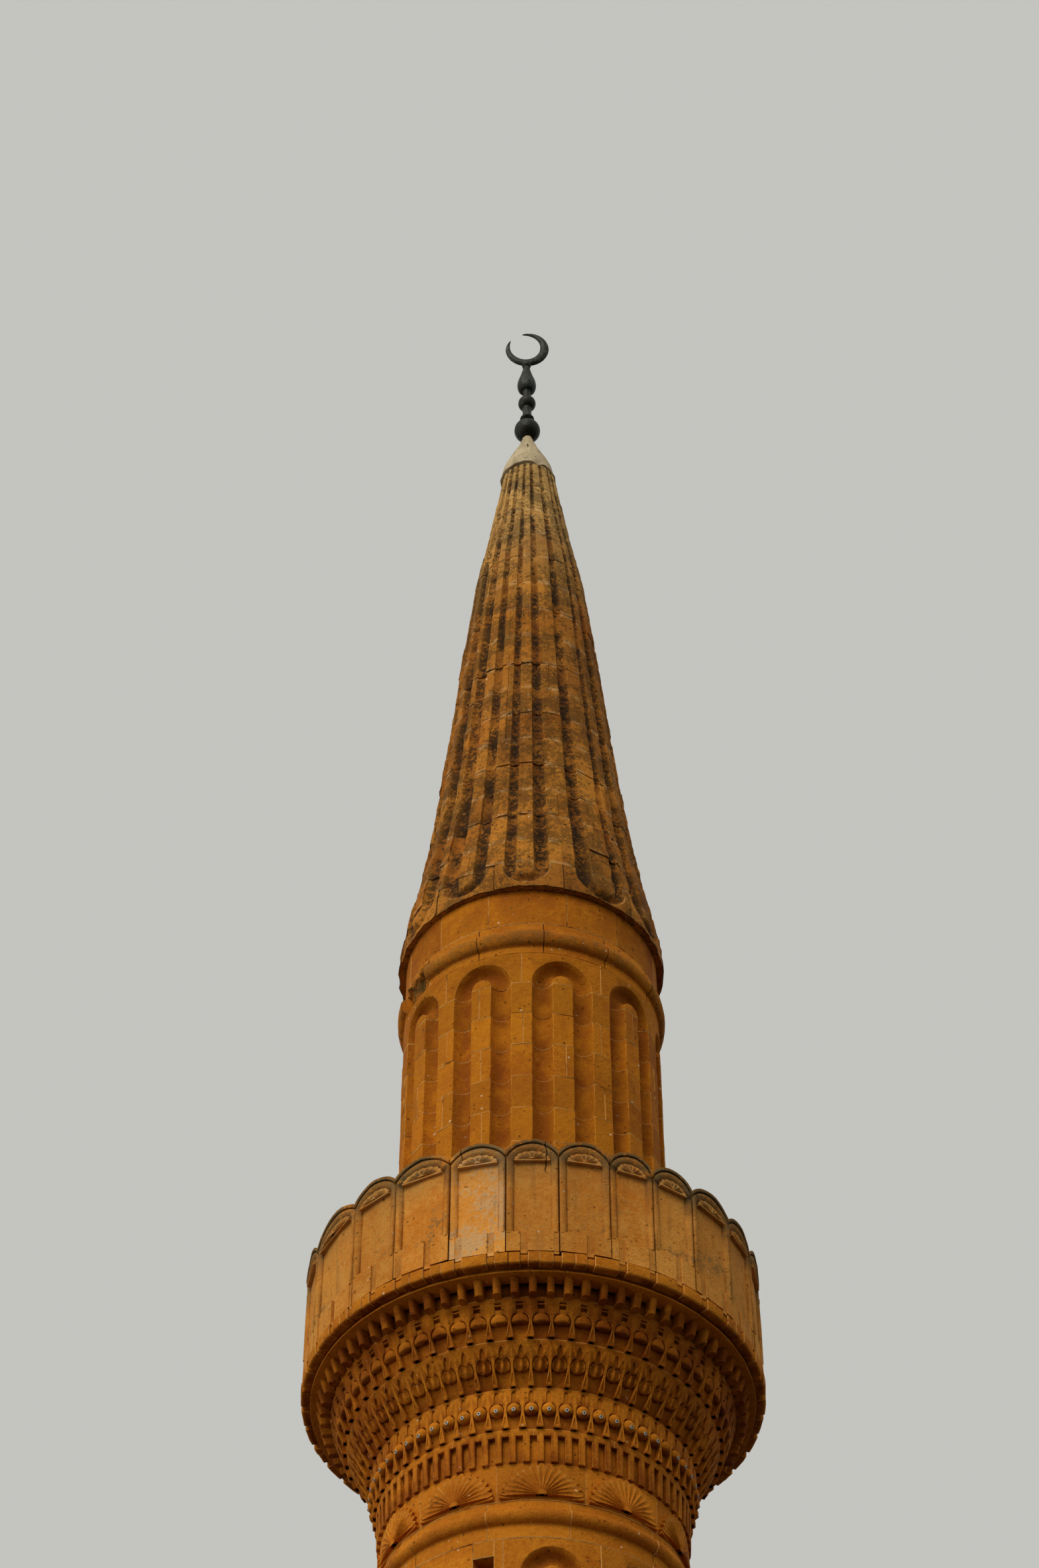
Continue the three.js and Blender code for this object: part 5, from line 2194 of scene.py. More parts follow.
@dataclass
class Base:
    """The square base with its foot doorway, cornice and shoulder.

    Attributes:
        finish: Stone finish.
        half: Half width of the walls.
        room: Half width of the room inside.
        courses: Number of the walls' courses.
        stone: Length that a block of the walls aims for.
        door_half: Half width of the doorway.
        door_springing: Height where its arch starts.
        door_reach: Distance from its middle to the outer joints of its wedge stones.
        plinth_half: Half width of the plinth.
        plinth_depth: Depth of the plinth's outer stones.
        plinth_stone: Length that a block of plinth and cornice aims for.
        cornice_half: Half width of the cornice.
        weather: How uneven the stones are.
    """

    finish: bpy.types.Material
    half: float = 1.65
    room: float = 0.80
    courses: int = 12
    stone: float = 0.72
    door_half: float = 0.40
    door_springing: float = 1.85
    door_reach: float = 0.80
    plinth_half: float = 1.80
    plinth_depth: float = 0.9
    plinth_stone: float = 0.9
    cornice_half: float = 1.76
    weather: Weather = Weather(jog=0.004, sway=0.003, pit=0.004, grain=0.15, groove=0.007)

    def build(self) -> None:
        """Builds the base from the plinth up."""
        self.plinth()
        self.walls()
        self.cornice()
        self.shoulder()

    def side(self, work: Stonework, turns: int, half: float, room: float, mitred: bool = False) -> Masonry:
        """Sets out one side.

        Args:
            work: Stonework that its stones end in.
            turns: Quarter turns from the front.
            half: Distance from the axis to the face.
            room: Distance from the axis to the back.
            mitred: Whether the stones' ends follow the corner's diagonal.

        Returns:
            The side's masonry.
        """
        return Masonry(work, Side(turns, half, room, mitred), Relief(facet=0.5), self.weather, row=0.4, back_step=0.9)

    @staticmethod
    def split(left: float, right: float, length: float, stream: random.Random) -> list[float]:
        """Divides a course into blocks of uneven length.

        Args:
            left: Place of the first joint.
            right: Place of the last joint.
            length: Length that a block aims for.
            stream: Random stream.

        Returns:
            The places of the joints, with both ends.
        """
        count = max(1, round((right - left) / length))
        first, *inner, last = spread(left, right, count)
        loose = (right - left) / count * 0.15
        return [first, *(x + stream.uniform(-loose, loose) for x in inner), last]

    def plinth(self) -> None:
        """Builds the plinth and the floor inside it."""
        bottom, top = height_span("base_plinth")
        work = Stonework("plinth_stones", 11)
        inner = self.plinth_half - self.plinth_depth
        for turns in range(4):
            reach = self.plinth_half if turns % 2 == 0 else inner
            joints = self.split(-reach, reach, self.plinth_stone, work.random)
            self.side(work, turns, self.plinth_half, inner).lay(bottom, top, joints)
        for left in (-inner, 0.0):
            self.side(work, 0, inner, -inner).lay(bottom, top, [left, left + inner])
        work.finish(self.finish, Slot.BASE, ["base_plinth"])

    def walls(self) -> None:
        """Builds the walls with the foot doorway."""
        bottom, top = height_span("base_wall_left")
        work = Stonework("base_wall_stones", 12)
        beds = spread(bottom, top, self.courses)
        course = (top - bottom) / self.courses
        head_course = math.floor((self.door_springing - bottom) / course)
        head = DoorHead(
            self.door_half, self.door_springing, beds[head_course], beds[head_course + 2], self.door_reach, wedges=7,
        )
        for number, (bed, level) in enumerate(zip(beds, beds[1:])):
            for turns in range(4):
                reach = self.half if (number + turns) % 2 == 0 else self.room
                opening = 0.0
                if turns == 0 and number < head_course:
                    opening = self.door_half
                elif turns == 0 and number < head_course + 2:
                    opening = self.door_reach
                self.course(work, turns, reach, opening, bed, level)
        front = self.side(work, 0, self.half, self.room)
        front.set_in(head.cut(0.0, work.random), [-self.door_reach, self.door_reach])
        nodes = ["base_wall_left", "base_wall_right", "base_wall_back", "doorway_jamb_left", "doorway_jamb_right"]
        work.finish(self.finish, Slot.BASE, [*nodes, "doorway_arch_wall"])

    def course(
        self, work: Stonework, turns: int, reach: float, opening: float, bed: float, level: float
    ) -> None:
        """Lays a course of one side.

        Args:
            work: Stonework that it ends in.
            turns: Quarter turns from the front.
            reach: Distance from the side's middle to its ends.
            opening: Half width left open in the middle.
            bed: Height of its bed.
            level: Height of its top.
        """
        side = self.side(work, turns, self.half, self.room)
        if opening == 0.0:
            side.lay(bed, level, self.split(-reach, reach, self.stone, work.random))
            return
        if reach - opening < 0.01:
            return
        left = self.split(-reach, -opening, self.stone, work.random)
        right = self.split(opening, reach, self.stone, work.random)
        side.lay(bed, level, [*left, *right], skip=[len(left) - 1])

    def cornice(self) -> None:
        """Builds the square cornice."""
        bottom, top = height_span("base_cornice")
        work = Stonework("base_cornice_stones", 13)
        half = self.cornice_half
        steps = (
            (0.080, 0.0), (0.080, 0.05), (0.055, 0.07), (0.030, 0.12), (0.012, 0.14), (0.0, 0.145),
            (0.0, top - bottom),
        )
        profile = tuple((y, bottom + z) for y, z in steps)
        for turns in range(4):
            side = self.side(work, turns, half, BORE, mitred=True)
            joints = self.split(-half, half, self.plinth_stone, work.random)
            side.set_in(Moulding(profile, facet=0.6).cut(joints, work.random), joints)
        work.finish(self.finish, Slot.BASE, ["base_cornice"])

    def shoulder(self) -> None:
        """Builds the courses that go over to the round shaft."""
        bottom, top = height_span("transition")
        work = Stonework("transition_stones", 14)
        shell = Shoulder(bottom, top)
        layer = Masonry(work, shell, Relief(facet=0.07), self.weather, row=0.2)
        beds = spread(bottom, top, 4)
        for number, (bed, level) in enumerate(zip(beds, beds[1:])):
            start = -180 + 12 * (number % 2)
            azimuths = [start + 24 * i + work.random.uniform(-3, 3) for i in range(15)]
            joints = [math.radians(azimuth) * shell.above for azimuth in azimuths]
            joints.append(joints[0] + math.tau * shell.above)
            layer.lay(bed, level, joints)
        work.finish(self.finish, Slot.BASE, ["transition"])


@dataclass
class Crown:
    """The cap stone and the bronze finial.

    Attributes:
        stone: Finish of the cap.
        bronze: Finish of the finial.
        drip: Height of the cap's drip edge.
        chip_azimuth: Azimuth of the chip in it.
        chip_width: Degrees from the chip's middle to its end.
        ball_centre: Height of the big ball's centre.
        ball_radius: Its radius.
        middle_centre: Height of the middle ball's centre.
        middle_radius: Its radius.
        collar_centre: Height of the small collar ball's centre.
        collar_radius: Its radius.
        ring_centre: Height of the crescent's centre.
        ring_half_width: Half width of the crescent's middle line.
        ring_half_height: Half height of it.
        thickest: Thickness of the crescent opposite its opening.
        thinnest: Thickness of its tips.
        opening: Angles where the opening starts and ends, from +X towards +Z.
        lean_from: Height where the lean starts.
        lean_slope: Lean to the left in a metre of height.
    """

    stone: bpy.types.Material
    bronze: bpy.types.Material
    drip: float = 29.745
    chip_azimuth: float = 23.0
    chip_width: float = 10.0
    ball_centre: float = 30.657
    ball_radius: float = 0.141
    middle_centre: float = 31.151
    middle_radius: float = 0.097
    collar_centre: float = 31.868
    collar_radius: float = 0.051
    ring_centre: float = 32.190
    ring_half_width: float = 0.205
    ring_half_height: float = 0.269
    thickest: float = 0.108
    thinnest: float = 0.006
    opening: Point = (101.5, 148.0)
    lean_from: float = 27.7
    lean_slope: float = 0.0055

    def build(self) -> None:
        """Builds the cap, then the finial from the bottom up."""
        self.cap()
        cap_top = height_span("cap_stone")[1]
        ball = self.ball_line(self.ball_centre, self.ball_radius, -76, 68)
        self.turned("finial_ball", [(0.0, cap_top), *ball, (0.0, ball[-1][1])])
        seat = ball[-1][1] - 0.004
        waist = self.middle_centre - self.middle_radius * math.sin(math.radians(62))
        disc = [
            (0.049, seat), (0.049, seat + 0.050), (0.070, seat + 0.062), (0.078, seat + 0.074), (0.075, seat + 0.090),
            (0.056, seat + 0.106), (0.049, seat + 0.145), (0.048, waist - 0.03), (0.051, waist),
        ]
        self.turned("finial_disc", [(0.0, seat), *disc, (0.0, waist)])
        middle = self.ball_line(self.middle_centre, self.middle_radius, -62, 62)
        pear_seat = height_span("finial_pear")[0]
        neck = [(0.043, middle[-1][1] + 0.02), (0.040, pear_seat - 0.02), (0.050, pear_seat)]
        self.turned("finial_middle_ball", [(0.0, middle[0][1]), *middle, *neck, (0.0, pear_seat)])
        top = self.collar_centre - self.collar_radius * math.sin(math.radians(60))
        pear = [
            (0.056, pear_seat), (0.078, pear_seat + 0.016), (0.094, pear_seat + 0.042), (0.102, pear_seat + 0.078),
            (0.104, pear_seat + 0.110), (0.099, 31.535), (0.088, 31.580), (0.072, 31.640), (0.056, 31.710),
            (0.043, 31.770), (0.036, top),
        ]
        self.turned("finial_pear", [(0.0, pear_seat), *pear, (0.0, top)])
        self.crescent()

    @staticmethod
    def ball_line(centre: float, radius: float, low: float, high: float) -> list[Point]:
        """Outline of a ball.

        Args:
            centre: Height of its centre.
            radius: Its radius.
            low: Degrees above the level where the line starts.
            high: Degrees where it ends.

        Returns:
            (radius, height) points from the bottom up.
        """
        angles = spread(math.radians(low), math.radians(high), 14)
        return [(radius * math.cos(a), centre + radius * math.sin(a)) for a in angles]

    def turned(self, node: str, profile: Sequence[Point]) -> None:
        """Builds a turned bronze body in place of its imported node."""
        work = Stonework(node + "_cast", 81)
        work.turned(profile, 32)
        for vertex in work.bm.verts:
            dent = 1.0 + 0.014 * noise.noise(vertex.co * 9.0)
            vertex.co.x *= dent
            vertex.co.y *= dent
        self.lean(work)
        work.finish(self.bronze, Slot.BRONZE, [node])

    def lean(self, work: Stonework) -> None:
        """Leans a piece to the left, as the tower's tip does, and turns its faces out."""
        for vertex in work.bm.verts:
            vertex.co.x -= self.lean_slope * (vertex.co.z - self.lean_from)
        work.turn_out()

    def cap(self) -> None:
        """Builds the cap stone with its worn, chipped drip edge."""
        bottom, _ = height_span("cap_stone")
        work = Stonework("cap_stone_worn", 82)
        line = (
            (30.52, 0.044), (30.51, 0.053), (30.45, 0.064), (30.275, 0.120), (30.08, 0.204), (29.94, 0.252),
            (29.875, 0.270), (29.80, 0.281), (29.766, 0.287), (29.750, 0.292), (29.742, 0.292), (29.737, 0.286),
            (29.735, 0.250),
        )
        profile = [(0.0, line[0][0]), *((radius, z) for z, radius in line), (0.250, bottom), (0.0, bottom)]
        work.turned(profile, 72)
        for vertex in work.bm.verts:
            self.wear(vertex)
        self.lean(work)
        work.finish(self.stone, Slot.CAP, ["cap_stone"])

    def wear(self, vertex: BMVert) -> None:
        """Roughens the cap and breaks its edge away at the chip."""
        x, y, z = vertex.co
        radius = math.hypot(x, y)
        if radius < 0.03:
            return
        azimuth = math.degrees(math.atan2(x, -y))
        rough = 0.006 * noise.fractal(Vector((x, y, z)) * 14.0, 0.9, 2.1, 3)
        edge = max(0.0, 1.0 - abs(z - self.drip) / 0.05)
        off = abs(azimuth - self.chip_azimuth) / self.chip_width
        chip = edge * max(0.0, 1.0 - off) * (0.045 + 0.02 * noise.noise(vertex.co * 60.0))
        scale = (radius + rough - chip) / radius
        vertex.co = (x * scale, y * scale, z + rough)

    def crescent(self) -> None:
        """Builds the collar and the crescent in it as one cast body."""
        work = Stonework("finial_crescent_cast", 83)
        collar = self.ball_line(self.collar_centre, self.collar_radius, -60, 60)
        work.turned([(0.0, collar[0][1]), *collar, (0.0, collar[-1][1])], 24)
        start, end = self.opening
        sections = 48
        corners = 12
        rings = []
        for step in range(sections + 1):
            share = step / sections
            angle = math.radians(end + (360 - end + start) * share)
            swell = math.sin(math.pi * share) ** 0.75 if 0 < share < 1 else 0.0
            half = (self.thinnest + (self.thickest - self.thinnest) * swell) / 2
            depth = 0.006 + 0.026 * swell
            ring = []
            for a in spread(0, math.tau, corners)[:-1]:
                across, out = half * math.cos(a), depth * math.sin(a)
                point = (
                    (self.ring_half_width + across) * math.cos(angle), out,
                    self.ring_centre + (self.ring_half_height + across) * math.sin(angle),
                )
                ring.append(work.vertex(point, MIDDLE_TONE))
            rings.append(ring)
        for ring, after in zip(rings, rings[1:]):
            for a in range(corners):
                b = (a + 1) % corners
                work.bm.faces.new((ring[a], ring[b], after[b], after[a]))
        work.bm.faces.new(rings[0])
        work.bm.faces.new(rings[-1])
        self.lean(work)
        work.finish(self.bronze, Slot.BRONZE, ["finial_crescent"])


@dataclass
class Photographer:
    """The camera, as it stood for the photograph.

    Attributes:
        focal: Focal length in the photograph's pixels.
        frame: Width and height of the photograph.
        place: Where it stood.
        pitch: Degrees that it looks up.
        yaw: Degrees that it looks to the left.
        roll: Degrees that it leans.
        sensor: Longer side of the sensor in millimetres.
    """

    focal: float = 5000.0
    frame: tuple[int, int] = (1568, 2367)
    place: Triple = (0.0, -21.75, 1.6)
    pitch: float = 47.10
    yaw: float = 0.275
    roll: float = 0.053
    sensor: float = 36.0

    def set_up(self) -> None:
        """Makes the camera and gives it to the scene."""
        data = bpy.data.cameras.new("camera")
        data.sensor_width = self.sensor
        data.lens = self.focal / max(self.frame) * self.sensor
        data.clip_end = 500.0
        camera = bpy.data.objects.new("camera", data)
        turn = Matrix.Rotation(math.radians(self.yaw), 4, "Z")
        tilt = Matrix.Rotation(math.radians(90 + self.pitch), 4, "X")
        lean = Matrix.Rotation(math.radians(-self.roll), 4, "Z")
        camera.matrix_world = Matrix.Translation(self.place) @ turn @ tilt @ lean
        bpy.context.scene.collection.objects.link(camera)
        bpy.context.scene.camera = camera


@dataclass
class Studio:
    """A pale floor under an even sky and two soft lights.

    Attributes:
        sky: Grey of the sky, as linear light.
        below: Grey under the horizon.
        floor_radius: Radius of the floor.
        light: Colour of the lights.
    """

    sky: Triple = (0.552, 0.552, 0.525)
    below: Triple = (0.035, 0.034, 0.032)
    floor_radius: float = 5.0
    light: Triple = (1.0, 0.96, 0.9)

    def set_up(self) -> None:
        """Makes the world, the lights and the floor."""
        self.world()
        self.sun("key", strength=1.24, azimuth=-23, elevation=40, softness=30)
        self.sun("side", strength=0.74, azimuth=-66, elevation=-1, softness=60)
        self.floor()
        bpy.context.scene.view_settings.view_transform = "Standard"

    def world(self) -> None:
        """Makes a sky that is even above the horizon and dim below it."""
        world = bpy.data.worlds.new("studio")
        world.use_nodes = True
        graph = Graph(world.node_tree)
        where = graph.add("ShaderNodeTexCoord", {}).outputs["Generated"]
        height = graph.add("ShaderNodeSeparateXYZ", {0: where}).outputs["Z"]
        ramp = graph.add("ShaderNodeMapRange", {"Value": height, "From Min": -0.35, "From Max": 0.25})
        shade = graph.blend(ramp.outputs["Result"], self.below, self.sky)
        graph.feed(world.node_tree.nodes["Background"], {"Color": shade})
        bpy.context.scene.world = world

    def sun(self, name: str, strength: float, azimuth: float, elevation: float, softness: float) -> None:
        """Makes a soft distant light.

        Args:
            name: Name of the light.
            strength: Its strength.
            azimuth: Azimuth that it shines from.
            elevation: Degrees above the horizon.
            softness: Degrees across the light.
        """
        data = bpy.data.lights.new(name, "SUN")
        data.energy = strength
        data.angle = math.radians(softness)
        data.color = self.light
        light = bpy.data.objects.new(name, data)
        a, e = math.radians(azimuth), math.radians(elevation)
        towards = Vector((math.sin(a) * math.cos(e), -math.cos(a) * math.cos(e), math.sin(e)))
        light.rotation_euler = towards.to_track_quat("Z", "Y").to_euler()
        bpy.context.scene.collection.objects.link(light)

    def floor(self) -> None:
        """Makes the pale floor."""
        bm = bmesh.new()
        bmesh.ops.create_circle(bm, cap_ends=True, radius=self.floor_radius, segments=96)
        bmesh.ops.translate(bm, verts=bm.verts[:], vec=(0, 0, -0.002))
        mesh = bpy.data.meshes.new("floor")
        bm.to_mesh(mesh)
        bm.free()
        material = bpy.data.materials.new("floor")
        material.use_nodes = True
        shader = material.node_tree.nodes["Principled BSDF"]
        shader.inputs["Base Color"].default_value = (0.5, 0.49, 0.47, 1.0)
        shader.inputs["Roughness"].default_value = 0.9
        mesh.materials.append(material)
        floor = bpy.data.objects.new("floor", mesh)
        bpy.context.scene.collection.objects.link(floor)


Colour = Triple
# Near-black of painted shadow under overhangs, behind carving and in deep gaps, and of a few dark stains.
PAINTED_SHADOW_AND_STAIN: Colour = (0.006, 0.003, 0.001)
CRACK: Colour = (0.006, 0.004, 0.002)
Socket = bpy.types.NodeSocket


@dataclass
class Graph:
    """A node tree in the making.

    Attributes:
        tree: The tree.
    """

    tree: bpy.types.NodeTree

    def add(self, kind: str, values: dict[str | int, object], **settings: object) -> bpy.types.Node:
        """Adds a node.

        Args:
            kind: Its type.
            values: A value or an output socket for each named or numbered input.
            **settings: Its properties.

        Returns:
            The node.
        """
        node = self.tree.nodes.new(kind)
        for name, value in settings.items():
            setattr(node, name, value)
        self.feed(node, values)
        return node

    def feed(self, node: bpy.types.Node, values: dict[str | int, object]) -> None:
        """Gives a node its inputs.

        Args:
            node: The node.
            values: A value or an output socket for each named or numbered input.
        """
        for key, value in values.items():
            if isinstance(value, Socket):
                self.tree.links.new(value, node.inputs[key])
            else:
                node.inputs[key].default_value = value

    def maths(self, operation: str, *values: Socket | float, clamp: bool = False) -> Socket:
        """Returns the result of a maths node."""
        inputs = dict(enumerate(values))
        return self.add("ShaderNodeMath", inputs, operation=operation, use_clamp=clamp).outputs[0]

    def times(self, first: Socket | float, second: Socket | float, clamp: bool = False) -> Socket:
        """Returns a product."""
        return self.maths("MULTIPLY", first, second, clamp=clamp)

    def plus(self, first: Socket | float, second: Socket | float, clamp: bool = False) -> Socket:
        """Returns a sum."""
        return self.maths("ADD", first, second, clamp=clamp)

    def minus(self, first: Socket | float, second: Socket | float, clamp: bool = False) -> Socket:
        """Returns a difference."""
        return self.maths("SUBTRACT", first, second, clamp=clamp)

    def blend(self, factor: Socket | float, first: Socket | Colour, second: Socket | Colour) -> Socket:
        """Returns a mix of two colours."""
        values = {"Factor": factor}
        for slot, colour in ((6, first), (7, second)):
            values[slot] = colour if isinstance(colour, Socket) else (*colour, 1.0)
        return self.add("ShaderNodeMix", values, data_type="RGBA", clamp_factor=True).outputs[2]

    def scaled(self, colour: Socket, by: Socket | float) -> Socket:
        """Returns a colour or a vector scaled by a value."""
        return self.add("ShaderNodeVectorMath", {0: colour, "Scale": by}, operation="SCALE").outputs[0]

    def step(self, value: Socket, low: float, high: float) -> Socket:
        """Returns a smooth step from 0 at low to 1 at high."""
        values = {"Value": value, "From Min": low, "From Max": high}
        return self.add("ShaderNodeMapRange", values, interpolation_type="SMOOTHSTEP").outputs[0]

    def cloud(self, vector: Socket, scale: float | Socket, detail: float = 3.0, rough: float = 0.55) -> Socket:
        """Adds noise.

        Args:
            vector: Coordinates.
            scale: Its scale.
            detail: Its detail.
            rough: Its roughness.

        Returns:
            Its value.
        """
        values = {"Vector": vector, "Scale": scale, "Detail": detail, "Roughness": rough}
        return self.add("ShaderNodeTexNoise", values).outputs[0]

    def stretched(self, vector: Socket, by: Colour) -> Socket:
        """Returns a vector scaled along each axis."""
        return self.add("ShaderNodeVectorMath", {0: vector, 1: by}, operation="MULTIPLY").outputs[0]

    def place(self) -> Socket:
        """Returns the object coordinates."""
        return self.add("ShaderNodeTexCoord", {}).outputs["Object"]

    def mark(self, name: str) -> Socket:
        """Returns a mesh attribute."""
        return self.add("ShaderNodeAttribute", {}, attribute_name=name).outputs["Fac"]


@dataclass
class Groups:
    """The shader node groups that the finishes share.

    Attributes:
        made: The groups by name.
    """

    made: dict[str, bpy.types.NodeTree] = field(default_factory=dict)

    def open(
        self, name: str, inputs: dict[str, float], outputs: Sequence[str] = ("Mask",)
    ) -> tuple[Graph, bpy.types.Node, bpy.types.Node]:
        """Starts a node group.

        Args:
            name: Its name.
            inputs: Default of each input value.
            outputs: Names of its output values.

        Returns:
            Its graph and its input and output nodes.
        """
        tree = bpy.data.node_groups.new(name, "ShaderNodeTree")
        for socket, default in inputs.items():
            made = tree.interface.new_socket(name=socket, in_out="INPUT", socket_type="NodeSocketFloat")
            made.default_value = default
        for socket in outputs:
            tree.interface.new_socket(name=socket, in_out="OUTPUT", socket_type="NodeSocketFloat")
        self.made[name] = tree
        graph = Graph(tree)
        return graph, graph.add("NodeGroupInput", {}), graph.add("NodeGroupOutput", {})

    def build(self) -> None:
        """Makes every group."""
        self.grain()
        self.block()
        self.marks()
        self.growth()
        self.runs()
        self.height()
        self.crack()

    def grain(self) -> None:
        """Makes the stone's mottling, specks, pale flecks, pits and unevenness."""
        graph, given, out = self.open("Stone Grain", {"Scale": 1.0}, ("Mottle", "Speck", "Fleck", "Pit", "Height"))
        place = graph.scaled(graph.place(), given.outputs["Scale"])
        broad = graph.cloud(place, 1.3, 4.0, 0.6)
        middle = graph.cloud(place, 7.0, 6.0, 0.7)
        small = graph.cloud(place, 26.0, 5.0, 0.75)
        fine = graph.cloud(place, 55.0, 2.0, 0.6)
        mottle = graph.plus(graph.times(broad, 0.35), graph.times(middle, 0.3))
        mottle = graph.plus(mottle, graph.times(small, 0.35))
        pits = self.spots(graph, place, 24.0, 0.30, 0.72)
        flecks = self.spots(graph, place, 15.0, 0.20, 0.74)
        relief = graph.plus(middle, graph.times(small, 0.6))
        relief = graph.plus(relief, graph.times(fine, 0.3))
        relief = graph.minus(relief, graph.times(pits, 0.5))
        graph.feed(out, {
            "Mottle": graph.step(mottle, 0.40, 0.60), "Speck": graph.step(fine, 0.52, 0.72), "Fleck": flecks,
            "Pit": pits, "Height": relief,
        })

    @staticmethod
    def spots(graph: Graph, place: Socket, scale: float, size: float, rare: float) -> Socket:
        """Adds scattered spots of uneven size.

        Args:
            graph: Graph that they are added to.
            place: Coordinates.
            scale: Cells in a metre.
            size: Radius of the largest spot, in cells.
            rare: Share of the cells without a spot.

        Returns:
            Their mask.
        """
        warped = graph.add("ShaderNodeTexNoise", {"Vector": place, "Scale": 60.0, "Detail": 2.0})
        shift = graph.scaled(warped.outputs["Color"], 0.03)
        moved = graph.add("ShaderNodeVectorMath", {0: place, 1: shift}, operation="ADD").outputs[0]
        cells = graph.add("ShaderNodeTexVoronoi", {"Vector": moved, "Scale": scale})
        chance = graph.add("ShaderNodeSeparateColor", {0: cells.outputs["Color"]}).outputs[0]
        grown = graph.times(graph.minus(chance, rare, clamp=True), size / (1 - rare))
        inside = graph.minus(grown, cells.outputs["Distance"])
        return graph.times(inside, 14.0, clamp=True)

    def block(self) -> None:
        """Makes each stone's own tone, and the mask of a washed stone."""
        graph, given, out = self.open("Block Tone", {"Contrast": 0.3}, ("Shade", "Hue", "Wash"))
        tone = graph.mark("tone")
        other = graph.maths("FRACT", graph.times(tone, 7.31))
        spread_by = graph.times(graph.minus(tone, 0.5), given.outputs["Contrast"])
        shade = graph.plus(graph.maths("MINIMUM", spread_by, 0.3), 1.0)
        graph.feed(out, {"Shade": shade, "Hue": other, "Wash": graph.step(tone, 1.2, 1.3)})

    def marks(self) -> None:
        """Makes the masks of worn arrises, lit edges, open joints, pale mortar, dirt and painted shade in the hollows,
        near-black painted shadow and stains, and worn pale edges.
        """
        outputs = ("Arris", "Edge", "Open", "Fill", "Bed", "Hollow", "Painted Shadow And Stain", "Worn")
        graph, given, out = self.open("Carving Marks", {"Dirt And Shade": 1.0, "Pale": 0.5}, outputs)
        joint = graph.mark("joint")
        hollow = graph.mark("hollow")
        place = graph.place()
        broken = graph.step(graph.cloud(place, 6.0, 4.0, 0.7), 0.40, 0.60)
        for name, level in (("Arris", ARRIS), ("Edge", LIT_EDGE)):
            graph.feed(out, {name: graph.times(graph.maths("COMPARE", joint, level, 0.1), broken)})
        opened = graph.maths("COMPARE", joint, OPEN_JOINT, 0.1)
        bedded = graph.maths("COMPARE", joint, BED_JOINT, 0.1)
        chance = graph.cloud(place, 2.3, 3.0, 0.6)
        level = graph.minus(0.75, graph.times(given.outputs["Pale"], 0.5))
        fill = graph.times(graph.minus(chance, level), 12.0, clamp=True)
        patch = graph.step(graph.cloud(place, 4.0, 4.0, 0.6), 0.30, 0.62)
        dirt_and_shade = graph.times(graph.times(hollow, given.outputs["Dirt And Shade"], clamp=True), patch, clamp=True)
        worn = graph.times(graph.times(hollow, -1.2, clamp=True), broken)
        graph.feed(out, {
            "Open": graph.maths("MAXIMUM", opened, bedded), "Fill": graph.times(opened, fill),
            "Bed": graph.times(bedded, fill), "Hollow": dirt_and_shade, "Painted Shadow And Stain": graph.step(hollow, 1.0, 2.0), "Worn": worn,
        })

    def growth(self) -> None:
        """Makes patches of lichen with ragged edges."""
        graph, given, out = self.open("Lichen", {"Scale": 3.0, "Cover": 0.5})
        place = graph.place()
        broad = graph.cloud(place, given.outputs["Scale"], 8.0, 0.75)
        ragged = graph.cloud(place, 26.0, 4.0, 0.75)
        level = graph.plus(broad, graph.times(graph.minus(ragged, 0.5), 0.70))
        edge = graph.minus(1.0, given.outputs["Cover"])
        low = graph.plus(graph.times(edge, 0.5), 0.25)
        mask = graph.times(graph.minus(level, low), 11.0, clamp=True)
        graph.feed(out, {"Mask": mask})

    def runs(self) -> None:
        """Makes upright stains where water has run."""
        graph, given, out = self.open("Run Stains", {"Width": 9.0, "Cover": 0.5})
        place = graph.stretched(graph.place(), (1.0, 1.0, 0.07))
        streaks = graph.cloud(place, given.outputs["Width"], 4.0, 0.6)
        broken = graph.cloud(graph.place(), 2.2, 3.0, 0.6)
        level = graph.plus(graph.times(streaks, 0.65), graph.times(broken, 0.35))
        edge = graph.minus(0.75, graph.times(given.outputs["Cover"], 0.5))
        mask = graph.times(graph.minus(level, edge), 6.0, clamp=True)
        graph.feed(out, {"Mask": mask})

    def crack(self) -> None:
        """Makes a thin upright crack on the front, between two heights."""
        graph, given, out = self.open("Crack", {"Across": 0.0, "Low": 0.0, "High": 1.0, "Width": 0.005})
        place = graph.place()
        axes = graph.add("ShaderNodeSeparateXYZ", {0: place}).outputs
        wander = graph.minus(graph.cloud(graph.stretched(place, (0.0, 0.0, 1.0)), 9.0, 4.0, 0.7), 0.5)
        off = graph.minus(axes[0], graph.times(wander, 0.09))
        off = graph.maths("ABSOLUTE", graph.minus(off, given.outputs["Across"]))
        inside = graph.maths("LESS_THAN", off, given.outputs["Width"])
        over = graph.maths("GREATER_THAN", axes[2], given.outputs["Low"])
        under = graph.maths("LESS_THAN", axes[2], given.outputs["High"])
        front = graph.maths("LESS_THAN", axes[1], 0.0)
        mask = graph.times(graph.times(inside, over), graph.times(under, front))
        graph.feed(out, {"Mask": mask})

